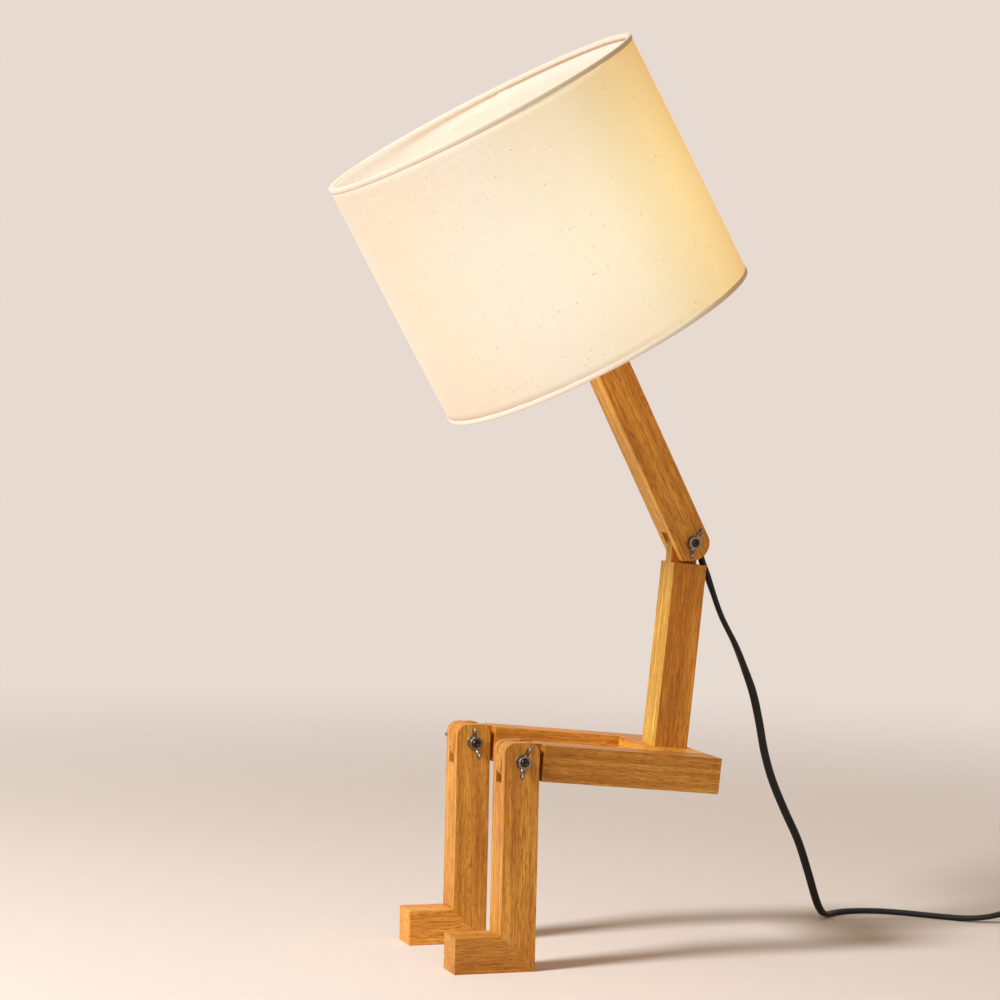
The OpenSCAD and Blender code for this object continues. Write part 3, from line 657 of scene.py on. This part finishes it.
def ear_mesh(side, place):
    points, faces, count = [], [], 20
    for x, z, high, thick in EAR:
        for k in range(count):
            angle = 2 * math.pi * k / count
            point = Vector((side * x, thick * math.sin(angle), z + high * math.cos(angle))) * MM
            points.append(place @ point)
    for i in range(len(EAR) - 1):
        for k in range(count):
            a, b = i * count + k, i * count + (k + 1) % count
            faces.append((a, b, b + count, a + count))
    faces += [tuple(range(count)), tuple(range(len(points) - count, len(points)))]
    return mesh_of("ear", points, faces)


def winged(name, place, bore):
    """A cast hub with two ears, its face at the place's origin and its axis along the place's Z."""
    if bore:
        outline = softened([(bore, 0), (FOOT_R, 0), (FOOT_R - 0.1, 0.9), (HUB_R, HUB_H), (bore, HUB_H)],
                           0.5, closed=True)
    else:
        outline = softened([(0, 0), (FOOT_R, 0), (FOOT_R - 0.1, 0.9), (HUB_R, HUB_H - 0.5),
                            (HUB_R - 1.2, HUB_H + 0.1), (0, HUB_H + 0.2)], 0.5)
    whole = bmesh.new()
    for part in (turned("hub", outline, place, 72, closed=bool(bore)),
                 ear_mesh(1, place), ear_mesh(-1, place)):
        whole.from_mesh(part)
        bpy.data.meshes.remove(part)
    mesh = bpy.data.meshes.new(name)
    whole.to_mesh(mesh)
    whole.free()
    made = piece_from(name, mesh, NICKEL)
    fused = {"mode": "VOXEL", "voxel_size": 0.26 * MM, "use_smooth_shade": True}
    return settled(made, ("REMESH", fused), ("SMOOTH", {"factor": 0.6, "iterations": 4}))


print("hub", HUB_H, "mm high, ears out to", EAR[-1][0], "mm")

# %% The wing nuts and the bolts' heads
KNEE_Z, KNEE_Y, LEG_X = 0.1355, -0.023927, 0.05
STACK = 12.5  # mm from a joint's middle to its washer's face


def joint_place(x, y, z, side, turn, lean):
    """Z along +X (side 1) or -X (side -1) from the washer's face, with the ears turned about it."""
    return (Matrix.Translation((x + side * STACK * MM, y, z)) @ Matrix.Rotation(lean, 4, "X")
            @ Matrix.Rotation(math.radians(turn), 4, "X") @ Matrix.Rotation(side * math.pi / 2, 4, "Y"))


JOINTS = {  # the nut's node, the joint's middle, its lean, the turns of the nut and of the bolt's head
    "left_knee": ("left_wing_nut", (LEG_X, KNEE_Y, KNEE_Z), 0.0, -14, 3),
    "right_knee": ("right_wing_nut", (-LEG_X, KNEE_Y, KNEE_Z), 0.0, 12, 78),
    "elbow": ("elbow_wing_nut", tuple(ELBOW), ARM_LEAN, -48, 35)}
for joint, (nut_node, at, lean, nut_turn, head_turn) in JOINTS.items():
    nut = winged(nut_node + "_cast", joint_place(*at, 1, nut_turn, lean), BORE_R)
    stands_for(nut, nut_node)
    head = winged(joint + "_bolt_head", joint_place(*at, -1, head_turn, lean), 0)
    goes_with(head, joint + "_bolt")
    print(joint, "nut faces:", len(nut.data.polygons), "head faces:", len(head.data.polygons))

# %% [markdown]
# ## Bolt shafts and their threads
# Each bolt has a smooth shaft through the joint and a threaded end that stands a little out of its nut,
# with a chamfer and a centre mark. Threads are rings at an even pitch, which is a rule, so a Geometry
# Nodes tree makes them: a line of points along Z, and one ring instanced on each.


# %% Geometry Nodes: the ends of every tree
def tree_inputs(name, **sizes):
    """A tree with an input for each size, which starts at the given value, and one for its finish."""
    tree = bpy.data.node_groups.new(name, "GeometryNodeTree")

    def socket(label, kind, way="INPUT"):
        return tree.interface.new_socket(label, in_out=way, socket_type="NodeSocket" + kind)

    socket("Geometry", "Geometry", "OUTPUT")
    for key, value in sizes.items():
        kind = "Int" if isinstance(value, int) else "Float"
        socket(key.replace("_", " "), kind).default_value = value
    socket("Finish", "Material")
    return tree, tree.nodes.new("NodeGroupInput").outputs


def tree_end(tree, geometry, material):
    real = add(tree, "GeometryNodeRealizeInstances", {0: geometry})
    coated = add(tree, "GeometryNodeSetMaterial", {"Geometry": real.outputs[0], "Material": material})
    out = tree.nodes.new("NodeGroupOutput")
    tree.links.new(coated.outputs[0], out.inputs[0])


print("ready to build trees")


# %% Geometry Nodes: rings along a line
def ring_tree():
    """Rings around Z at an even pitch, whose radius goes evenly from the first to the last."""
    tree, given = tree_inputs("rings along a line", Count=8, Pitch=0.8 * MM, Radius=2.5 * MM,
                              Last_Radius=2.5 * MM, Wire=0.2 * MM, Sides=48)
    line = add(tree, "GeometryNodeMeshLine", {"Count": given["Count"]}, mode="OFFSET")
    step = add(tree, "ShaderNodeCombineXYZ", {"Z": given["Pitch"]})
    tree.links.new(step.outputs[0], line.inputs["Offset"])
    circle = add(tree, "GeometryNodeCurvePrimitiveCircle", {
        "Resolution": given["Sides"], "Radius": 1.0})
    place = add(tree, "GeometryNodeInputIndex").outputs[0]
    last = calc(tree, "SUBTRACT", given["Count"], 1.0)
    share = calc(tree, "DIVIDE", place, last)
    grow = calc(tree, "SUBTRACT", given["Last Radius"], given["Radius"])
    radius = calc(tree, "MULTIPLY_ADD", share, grow, given["Radius"])
    size = add(tree, "ShaderNodeCombineXYZ", {0: radius, 1: radius, 2: 1.0})
    rings = add(tree, "GeometryNodeInstanceOnPoints", {
        "Points": line.outputs[0], "Instance": circle.outputs[0], "Scale": size.outputs[0]})
    real = add(tree, "GeometryNodeRealizeInstances", {0: rings.outputs[0]})
    wire = add(tree, "GeometryNodeCurvePrimitiveCircle", {"Resolution": 8, "Radius": given["Wire"]})
    tube = add(tree, "GeometryNodeCurveToMesh", {
        "Curve": real.outputs[0], "Profile Curve": wire.outputs[0]})
    tree_end(tree, tube.outputs[0], given["Finish"])
    return tree


def grown(name, tree, place, material, **sizes):
    """Runs a tree with these sizes and returns its result as a plain mesh piece."""
    holder = bpy.data.objects.new(name, bpy.data.meshes.new(name))
    scene.collection.objects.link(holder)
    modifier = holder.modifiers.new("tree", "NODES")
    modifier.node_group = tree
    values = dict(sizes, Finish=material)
    for item in tree.interface.items_tree:
        key = item.name.replace(" ", "_")
        if item.in_out == "INPUT" and key in values:
            modifier[item.identifier] = values[key]
    graph = bpy.context.evaluated_depsgraph_get()
    mesh = bpy.data.meshes.new_from_object(holder.evaluated_get(graph), depsgraph=graph)
    bpy.data.objects.remove(holder)
    shape = bmesh.new()
    shape.from_mesh(mesh)
    bmesh.ops.transform(shape, matrix=place, verts=shape.verts)
    bmesh.ops.recalc_face_normals(shape, faces=shape.faces)
    shape.to_mesh(mesh)
    shape.free()
    return piece_from(name, mesh, material)


RINGS = ring_tree()


def ringed(name, node, place, material, count, pitch, wire, radius, last=None, sides=48):
    """Rings of these sizes in mm, as a thread or as ribs, that ride with a node."""
    made = grown(name, RINGS, place, material, Count=count, Pitch=pitch * MM, Radius=radius * MM,
                 Last_Radius=(last or radius) * MM, Wire=wire * MM, Sides=sides)
    return goes_with(made, node)


print("ring tree has", len(RINGS.nodes), "nodes")

# %% Bolt shafts with threaded ends
BOLT_R, HEAD_END, NUT_END = 2.5, -13.0, STACK + HUB_H + 0.9
outline = softened([
    (0, HEAD_END), (BOLT_R, HEAD_END), (BOLT_R, NUT_END - 0.7), (BOLT_R - 0.7, NUT_END),
    (1.25, NUT_END), (0.95, NUT_END - 0.25), (0.55, NUT_END - 0.95), (0, NUT_END - 1.0)], 0.18, 3)
for joint, (_, at, lean, *_) in JOINTS.items():
    place = raised(joint_place(*at, 1, 0, lean), -STACK)
    stands_for(turned_piece(joint + "_bolt_shaft", outline, BOLT, place, 48), joint + "_bolt")
    ringed(joint + "_bolt_thread", joint + "_bolt", raised(place, NUT_END - 4.6), BOLT, 5, 0.8, 0.1,
           BOLT_R - 0.06)
    dressed(joint + "_washers", STEEL, 0.12, 2)
    print(joint, "shaft ends", round(NUT_END, 2), "mm from the joint's middle")

# %% [markdown]
# ## Lampholder
# The moulded holder has an outside thread for the ring nut that clamps the shade, and a brass sleeve
# that takes the bulb. The model's turned solids are right, so they are dressed with small radii, and the
# threads and the grips are grown by Geometry Nodes.

# %% Lampholder pieces
LOW_RIM = ELBOW + Matrix.Rotation(ARM_LEAN, 3, "X") @ Vector((0, 0, 146.4 * MM))
in_shade = Matrix.Translation(LOW_RIM) @ Matrix.Rotation(SHADE_TILT, 4, "X")
for name, material, width in (
        ("holder_cap", HOLDER, 0.5), ("holder_shell", HOLDER, 0.4), ("shade_ring_nut", HOLDER, 0.4),
        ("holder_core", PORCELAIN, 0.3), ("holder_nipple", BRASS, 0.2), ("holder_thread", BRASS, 0.15)):
    dressed(name, material, width, 2, 30)
HOLDER_R, CAP_R = 19.5, 13.55
ringed("holder_outer_thread", "holder_shell", raised(in_shade, 24.5), HOLDER, 7, 2.1, 0.5,
       HOLDER_R - 0.05, sides=72)
ringed("bulb_cap_thread", "bulb_cap", raised(in_shade, 30), BRASS, 5, 3.2, 0.14, CAP_R, sides=72)
print("lower rim's middle at", [round(c, 5) for c in LOW_RIM])

# %% [markdown]
# Grips around the ring nut repeat around a circle: a second tree puts one small bar on each point of a
# circle and turns it to face outwards.


# %% Geometry Nodes: bars around a circle
def grip_tree():
    tree, given = tree_inputs("bars around a circle", Count=24, Radius=0.02, Width=1 * MM, Depth=1 * MM,
                              Height=4 * MM)
    circle = add(tree, "GeometryNodeMeshCircle", {
        "Vertices": given["Count"], "Radius": given["Radius"]})
    size = add(tree, "ShaderNodeCombineXYZ", {0: given["Depth"], 1: given["Width"], 2: given["Height"]})
    cube = add(tree, "GeometryNodeMeshCube", {"Size": size.outputs[0]})
    place = add(tree, "GeometryNodeInputPosition").outputs[0]
    facing = add(tree, "FunctionNodeAlignRotationToVector", {"Vector": place}, axis="X")
    bars = add(tree, "GeometryNodeInstanceOnPoints", {
        "Points": circle.outputs[0], "Instance": cube.outputs[0], "Rotation": facing.outputs[0]})
    tree_end(tree, bars.outputs[0], given["Finish"])
    return tree


GRIPS = grip_tree()
grips = grown("ring_nut_grips", GRIPS, raised(in_shade, 19.6), HOLDER, Count=30, Radius=22.7 * MM,
              Width=1.3 * MM, Depth=0.9 * MM, Height=4.4 * MM)
settled(grips, ("BEVEL", {"width": 0.25 * MM, "segments": 2, "limit_method": "NONE"}))
goes_with(grips, "shade_ring_nut")
print("grips:", len(grips.data.polygons), "faces")

# %% [markdown]
# ## The bulb
# A frosted globe on a tapered neck, with a screw cap. The lamp is lit, so the glass is a warm emitter,
# brightest around its middle, and dimmer and warmer in tone towards the neck. It really lights the
# lining around it.

# %% The bulb's glow
NECK_R, BULB_R, BULB_Z, BULB_FOOT = 14.0, 30.0, 98.0, 46.0
BULB_GLOW, FALL = 5.5, 17.0  # strength, and how fast it falls with the distance in metres


def lit_glass():
    made, tree, shader = new_material("lit_frosted_glass", Roughness=0.45, Emission_Strength=1.0,
                                      Base_Color=(0.9, 0.87, 0.8, 1))
    place = in_space(tree)
    away = measure(tree, "DISTANCE", place, raised(in_shade, BULB_Z).translation)
    share = ramp(tree, calc(tree, "MULTIPLY", away, FALL), (0.5, 1.0), (0.95, 0.12))
    cloudy = calc(tree, "MULTIPLY_ADD", grain_noise(tree, place, 140, 2), 0.1, 0.95)
    feed(shader, Emission_Color=mixed(tree, share, (1.0, 0.70, 0.42), (1.0, 0.84, 0.62)),
         Emission_Strength=product(tree, share, cloudy, BULB_GLOW))
    bump(tree, shader, grain_noise(tree, place, 2600, 2), 0.02 * MM)
    return made


print("the bulb's glow ready")

# %% The bulb
lean = math.asin((BULB_R - NECK_R) / (BULB_Z - BULB_FOOT))
outline = [(0, BULB_FOOT - 1), (NECK_R - 1.2, BULB_FOOT - 1), (NECK_R, BULB_FOOT + 1)]
outline += [(NECK_R + 2.7 * t * t, BULB_FOOT + 1 + 10 * t) for t in (0.35, 0.7)]
first, globe_steps = lean - math.radians(86), 26
for k in range(globe_steps):
    angle = first + (math.pi / 2 - first) * k / globe_steps
    outline.append((BULB_R * math.cos(angle), BULB_Z + BULB_R * math.sin(angle)))
outline.append((0, BULB_Z + BULB_R))
glass = stands_for(turned_piece("bulb_glass_lit", outline, lit_glass(), in_shade, 80), "bulb_glass")
dressed("bulb_cap", BLADE, 0.2, 2, 30)
dressed("bulb_contact", SEAL, 0.3, 2, 30)
print("bulb faces:", len(glass.data.polygons))

# %% [markdown]
# ## The drum's cloth
# The shade is one strip of linen, bent into a cylinder and lapped over itself on the figure's right. Its
# shape follows a rule, so a Geometry Nodes tree makes it: a flat grid is rolled up, the lapped end steps
# out a little, and the cloth swells slightly between its rims. The flat grid's own coordinates are kept
# as an attribute named cloth, so that the weave runs along and across the strip.


# %% Geometry Nodes: the rolled sheet
STEP_RUN = 4 * MM  # the lapped end steps out over this length


def sheet_tree():
    tree, given = tree_inputs("rolled sheet", Radius=0.1, Height=0.17, Lap=8 * MM, Step=0.5 * MM,
                              Swell=0.3 * MM, Columns=200, Rows=24, Start=0.0)
    round_it = calc(tree, "MULTIPLY", given["Radius"], 2 * math.pi)
    length = calc(tree, "ADD", round_it, given["Lap"])
    grid = add(tree, "GeometryNodeMeshGrid", {
        "Size X": length, "Size Y": given["Height"], "Vertices X": given["Columns"],
        "Vertices Y": given["Rows"]})
    flat = add(tree, "GeometryNodeInputPosition").outputs[0]
    stored = add(tree, "GeometryNodeStoreNamedAttribute", {
        "Geometry": grid.outputs[0], "Name": "cloth", "Value": flat},
        data_type="FLOAT_VECTOR", domain="POINT")
    split = add(tree, "ShaderNodeSeparateXYZ", {0: flat}).outputs
    run = calc(tree, "MULTIPLY_ADD", length, 0.5, split["X"])
    angle = calc(tree, "ADD", calc(tree, "DIVIDE", run, given["Radius"]), given["Start"])
    share = calc(tree, "DIVIDE", split["Y"], given["Height"])
    crown = calc(tree, "MULTIPLY_ADD", product(tree, share, share), -4.0, 1.0)
    over = calc(tree, "SUBTRACT", run, calc(tree, "SUBTRACT", round_it, STEP_RUN))
    stepped = fade_in(tree, over, 0.0, STEP_RUN, given["Step"], "SMOOTHSTEP")
    swollen = calc(tree, "MULTIPLY_ADD", crown, given["Swell"], given["Radius"])
    radius = calc(tree, "ADD", swollen, stepped)
    rolled = add(tree, "ShaderNodeCombineXYZ", {
        0: product(tree, radius, calc(tree, "COSINE", angle)),
        1: product(tree, radius, calc(tree, "SINE", angle)),
        2: calc(tree, "MULTIPLY_ADD", given["Height"], 0.5, split["Y"])}).outputs[0]
    moved = add(tree, "GeometryNodeSetPosition", {"Geometry": stored.outputs[0], "Position": rolled})
    tree_end(tree, moved.outputs[0], given["Finish"])
    return tree


SHEET = sheet_tree()
print("sheet tree has", len(SHEET.nodes), "nodes")

# %% [markdown]
# ## Linen, lit from inside
# Linen has uneven threads: slubs along and across, a fine plain weave, and small brown flecks of straw.
# The bulb's light through the cloth is painted on as the cloth's own glow. It falls with the distance
# from the bulb, and its colour is painted weaker and paler at the drum's front and warmer at its rear.


# %% The linen material
GLOW_Z, GLOW_FALL, DRUM_REACH = 0.072, 0.7, 0.11  # in metres, but for the fall


def linen(name, glow, base):
    made, tree, shader = new_material(name, Roughness=0.9, Specular_IOR_Level=0.15, Sheen_Weight=0.2,
                                      Sheen_Roughness=0.5)
    flat = add(tree, "ShaderNodeAttribute", attribute_name="cloth").outputs["Vector"]
    place = in_space(tree)

    def both_ways(scale, long):
        return [grain_noise(tree, stretched(tree, flat, *way, 1), scale, 3, 0.6)
                for way in ((long, 1.0), (1.0, long))]

    thread = calc(tree, "MULTIPLY", calc(tree, "ADD", *both_ways(1600, 0.05)), 0.5)
    slub = contrast(tree, calc(tree, "MAXIMUM", *both_ways(420, 0.06)), 0.56, 0.74)
    fleck_at = add(tree, "ShaderNodeTexVoronoi", {"Vector": flat, "Scale": 170.0}).outputs["Distance"]
    patch = contrast(tree, grain_noise(tree, flat, 90, 2), 0.42, 0.58)
    fleck = calc(tree, "MULTIPLY", ramp(tree, fleck_at, (0.05, 1.0), (0.12, 0.0)), patch)
    colour = mixed(tree, 1.0, base, ramp(tree, thread, (0.35, 0.93), (0.65, 1.05)), "MULTIPLY")
    for marks, share, paint in ((slub, 0.25, (0.7, 0.6, 0.44)), (fleck, 0.6, (0.35, 0.24, 0.12))):
        colour = mixed(tree, calc(tree, "MULTIPLY", marks, share), colour, paint)
    bulb = in_shade @ Vector((0, 0, GLOW_Z))
    away = measure(tree, "DISTANCE", place, bulb)
    near = calc(tree, "POWER", calc(tree, "DIVIDE", DRUM_REACH, away), GLOW_FALL)
    rearward = in_shade.to_3x3() @ Vector((0, 1, 0))
    middle = bulb.dot(rearward)
    around = fade_in(tree, measure(tree, "DOT_PRODUCT", place, rearward),
                     middle - DRUM_REACH, middle + DRUM_REACH)
    # Near the rims the painted glow turns warmer.
    rims = ramp(tree, near, (0.8, (1.0, 0.92, 0.82)), (1.0, (1.0, 1.0, 1.0)))
    cloud = calc(tree, "MULTIPLY_ADD", grain_noise(tree, place, 24, 3), 0.05, 0.975)
    shadow = calc(tree, "SUBTRACT", 1.0, calc(tree, "MULTIPLY", slub, 0.06))
    shadow = calc(tree, "SUBTRACT", shadow, calc(tree, "MULTIPLY", fleck, 0.5))
    weave = calc(tree, "MULTIPLY_ADD", thread, 0.24, 0.88)
    feed(shader, Base_Color=colour,
         Emission_Color=mixed(tree, 1.0, ramp(tree, around, *glow), rims, "MULTIPLY"),
         Emission_Strength=product(tree, near, cloud, shadow, weave))
    bump(tree, shader, calc(tree, "MULTIPLY_ADD", slub, 0.7, thread), 0.06 * MM)
    return made


# Each painted glow runs from the drum's front, at 0, to its rear, at 1.
LINEN = linen("lit_linen", (
    (0.0, (0.50, 0.32, 0.175)), (0.25, (0.56, 0.475, 0.36)), (0.55, (0.74, 0.63, 0.42)),
    (0.8, (0.84, 0.62, 0.26)), (1.0, (0.82, 0.46, 0.12))), (0.40, 0.37, 0.32))
# The lining's painted glow stands for the bulb's light on its inside; the wrapped rings wear it too.
LINING = linen("lit_lining", (
    (0.3, (0.69, 0.62, 0.55)), (0.6, (0.56, 0.42, 0.32)), (0.9, (0.38, 0.22, 0.14))),
    (0.44, 0.42, 0.385))
# The hem's painted glow is dimmer, for the doubled cloth over the ring, and darkest at the rear.
HEM = linen("hem_linen", (
    (0.3, (0.45, 0.32, 0.22)), (0.6, (0.34, 0.27, 0.17)), (0.85, (0.24, 0.13, 0.03))),
    (0.50, 0.46, 0.41))
print("linen made for", [m.name for m in (LINEN, LINING, HEM)])

# %% The drum and its lining
SHADE_R, SHADE_H, CLOTH_T, RIM_GAP = 110.0, 173.0, 0.5, 0.6


def drum(name, node, material, radius, thick, start, rows, **sizes):
    """A rolled sheet of these sizes in mm, lapped at `start` degrees around the shade."""
    made = grown(name, SHEET, raised(in_shade, RIM_GAP), material, Radius=radius * MM,
                 Height=(SHADE_H - 2 * RIM_GAP) * MM, Columns=289, Rows=rows, Start=math.radians(start),
                 **{key: size * MM for key, size in sizes.items()})
    settled(made, ("SOLIDIFY", {"thickness": thick * MM, "offset": 0.0}))
    return stands_for(made, node)


fabric = drum("linen_drum", "shade_fabric", LINEN, SHADE_R - CLOTH_T, CLOTH_T, 160, 25,
              Lap=8, Step=0.3, Swell=0.3)
lining = drum("lining_drum", "shade_lining", LINING, SHADE_R - 1.3, 0.3, 150, 15,
              Lap=6, Step=-0.3, Swell=0.2)
print("cloth faces:", len(fabric.data.polygons), "lining faces:", len(lining.data.polygons))

# %% [markdown]
# ## Hems and wrapped rings
# At both rims a narrow linen tape is folded over the cloth's raw edge, and inside it a steel ring wrapped
# in the lining's tape holds the drum round. Both are a section swept around the rim. A little noise keeps
# the folded edge from looking machined.


# %% The hems and the rings
HEM_WANDER, WAVES = 0.25, 9


def rim_piece(name, section, flip, material, wander=0.0):
    """A section swept around a rim. What is more than 1 mm from the rim wanders by up to so many mm."""
    rim = raised(Matrix(), SHADE_H) @ Matrix.Rotation(math.pi, 4, "X") if flip else Matrix()
    mesh = turned(name, section, Matrix(), 240, closed=True)
    layer = mesh.attributes.new("cloth", "FLOAT_VECTOR", "POINT")
    for vertex, value in zip(mesh.vertices, layer.data):
        p = vertex.co
        angle = math.atan2(p.y, p.x)
        value.vector = (angle * SHADE_R * MM, p.z, 0)
        around = Vector((math.cos(angle), math.sin(angle), 0)) * WAVES
        wave = noise.noise(around + Vector((0, 0, flip * 7)))
        vertex.co.z += wander * MM * wave * min(1, max(0, p.z / MM - 1))
    mesh.transform(in_shade @ rim)
    return piece_from(name, mesh, material)


FOLD = [(109.92, 3.3), (110.06, 3.15), (110.18, 1.0), (110.1, 0.25), (109.6, -0.05), (108.8, -0.05),
        (108.25, 0.25), (108.1, 0.9), (108.1, 2.2), (108.25, 2.3), (108.45, 2.2), (108.5, 1.0),
        (108.9, 0.5), (109.5, 0.5), (109.7, 1.0), (109.74, 3.15)]
TAPE_R, TAPE_Z, HALF_THICK, HALF_HIGH = 107.75, 1.75, 0.7, 1.5
TAPED = [(TAPE_R + HALF_THICK * math.cos(a), TAPE_Z + HALF_HIGH * math.sin(a))
         for a in (math.radians(30 * k) for k in range(12))]
for flip, ring in enumerate(("shade_lower_ring", "shade_upper_ring")):
    stands_for(rim_piece(ring + "_taped", TAPED, flip, LINING), ring)
low_hem, top_hem = (rim_piece(name, FOLD, flip, HEM, HEM_WANDER)
                    for flip, name in enumerate(("lower_hem", "upper_hem")))
for made in (low_hem, top_hem):
    goes_with(made, "shade_fabric")
dressed("shade_fitter", WIRE, 0.2, 2, 40)
print("hems done")

# %% [markdown]
# ## Switch, plug and the cord's sleeves
# A small moulded rocker switch sits in the cord, and a two-pin plug is on its end. Both are softened
# copies of the model. Where the cord enters them, short rings of plastic stiffen it; the ring tree from
# the bolts makes them, tapering towards the cord.

# %% Switch and plug
for name, material, width, sharp in (
        ("switch_base", BLACK, 0.9, 30), ("switch_cover", BLACK, 0.9, 30),
        ("switch_rocker", BLACK, 0.5, 25), ("plug_body", BLACK, 2.2, 20),
        ("cord_clip", BLACK, 0.5, 30), ("coil_tie", BLACK, 0.25, 30),
        ("switch_screws", STEEL, 0.15, 30), ("switch_contacts", BRASS, 0.15, 30),
        ("plug_pins", BLADE, 0.15, 30)):
    dressed(name, material, width, 3, sharp)
for name in ("seat_dowels", "left_foot_dowels", "right_foot_dowels"):
    dressed(name, BEECH, 0.4, 2, 40)
dressed("torso_screws", STEEL, 0.15, 2, 40)
print("switch, plug, dowels and screws dressed")


# %% The cord's sleeves
def along_y(x, y, z, ahead):
    """Z of the result runs along +Y (ahead 1) or -Y (ahead -1)."""
    return Matrix.Translation(Vector((x, y, z)) * MM) @ Matrix.Rotation(-ahead * math.pi / 2, 4, "X")


SLEEVE_END, FIRST_RIB = 3.25, 1.3
SLEEVES = {  # node, place, length, width at the wide end, number and pitch of the ribs
    "switch_front_sleeve": ("switch_sleeves", (-33, 396, 8, -1), 8.0, 9.0, 5, 1.5),
    "switch_rear_sleeve": ("switch_sleeves", (-33, 454, 8, 1), 8.0, 9.0, 5, 1.5),
    "plug_sleeve_ribbed": ("plug_sleeve", (22, 421, 7, 1), 24.0, 10.0, 9, 2.5)}
for name, (node, at, length, wide, count, pitch) in SLEEVES.items():
    place = along_y(*at)
    outline = softened([(0, 0), (wide / 2, 0), (wide / 2 - 0.5, 0.8), (SLEEVE_END, length - 0.4),
                        (SLEEVE_END - 0.25, length), (0, length)], 0.3, 3)
    stands_for(turned_piece(name, outline, BLACK, place, 40), node)
    ringed(name + "_ribs", node, raised(place, FIRST_RIB), BLACK, count, pitch, 0.45, wide / 2 - 0.55,
           SLEEVE_END + 0.05)
print("sleeves:", list(SLEEVES))

# %% [markdown]
# ## The two cords
# The first runs from the elbow's clip to the switch, the second from the switch through the coil to the
# plug.

# %% [markdown]
# ## Floor, light and background
# A pale floor keeps the lamp's shadow and fades into a background of the same colour, so there is no
# edge between them. A cool soft lamp stands high in front of the figure, like a window. A wide, weak and
# warm one hangs above the camera's side, like a room, and the world gives an even light. Together they
# light a surface at a plain level, at which a colour looks as it is written.

# %% The floor
BACKGROUND = (0.80, 0.70, 0.635)
FADE_FROM, FADE_TO = 0.45, 1.7


def floor_material():
    made, tree, shader = new_material("pale_floor", Roughness=0.75, Specular_IOR_Level=0.2)
    place = in_space(tree)
    mottle = ramp(tree, grain_noise(tree, place, 60, 4), (0.3, 0.985), (0.7, 1.0))
    feed(shader, Base_Color=mixed(tree, 1.0, BACKGROUND, mottle, "MULTIPLY"))
    gone = fade_in(tree, measure(tree, "LENGTH", place), FADE_FROM, FADE_TO, curve="SMOOTHSTEP")
    clear = add(tree, "ShaderNodeBsdfTransparent")
    blend = add(tree, "ShaderNodeMixShader", {0: gone, 1: shader.outputs[0], 2: clear.outputs[0]})
    tree.links.new(blend.outputs[0], tree.nodes["Material Output"].inputs[0])
    return made


floor_mesh = turned("floor", [(0, 0), (600, 0), (1400, 0), (2700, 0)], Matrix(), 96)
for polygon in floor_mesh.polygons:
    if polygon.normal.z < 0:
        polygon.flip()
floor = piece_from("floor", floor_mesh, floor_material())
print("floor fades from", FADE_FROM, "to", FADE_TO, "m")


# %% The lamps and the world
def soft_lamp(name, at, aim, width, power, colour):
    light = bpy.data.lights.new(name, "AREA")
    light.shape, light.size, light.energy, light.color = "DISK", width, power, colour
    made = bpy.data.objects.new(name, light)
    made.location = at
    made.rotation_euler = (Vector(aim) - Vector(at)).to_track_quat("-Z", "Y").to_euler()
    scene.collection.objects.link(made)


MIDDLE = (0, 0.03, 0.3)
soft_lamp("window", (0.52, -2.05, 1.76), MIDDLE, 0.65, 90, (0.94, 1.0, 1.03))
soft_lamp("room", (2.2, 0.4, 1.2), MIDDLE, 1.6, 4, (1.0, 0.8, 0.62))
world = bpy.data.worlds.new("room")
scene.world = world
world.use_nodes = True
tree = world.node_tree
path = add(tree, "ShaderNodeLightPath").outputs
seen = calc(tree, "MAXIMUM", path["Is Camera Ray"], path["Is Glossy Ray"])
seen = calc(tree, "MAXIMUM", seen, path["Is Transmission Ray"])
AMBIENT = (0.30, 0.238, 0.175)
colour = mixed(tree, seen, AMBIENT, BACKGROUND)
tree.links.new(colour, tree.nodes["Background"].inputs["Color"])
scene.view_settings.view_transform = "Standard"
print("two lamps and the world made")
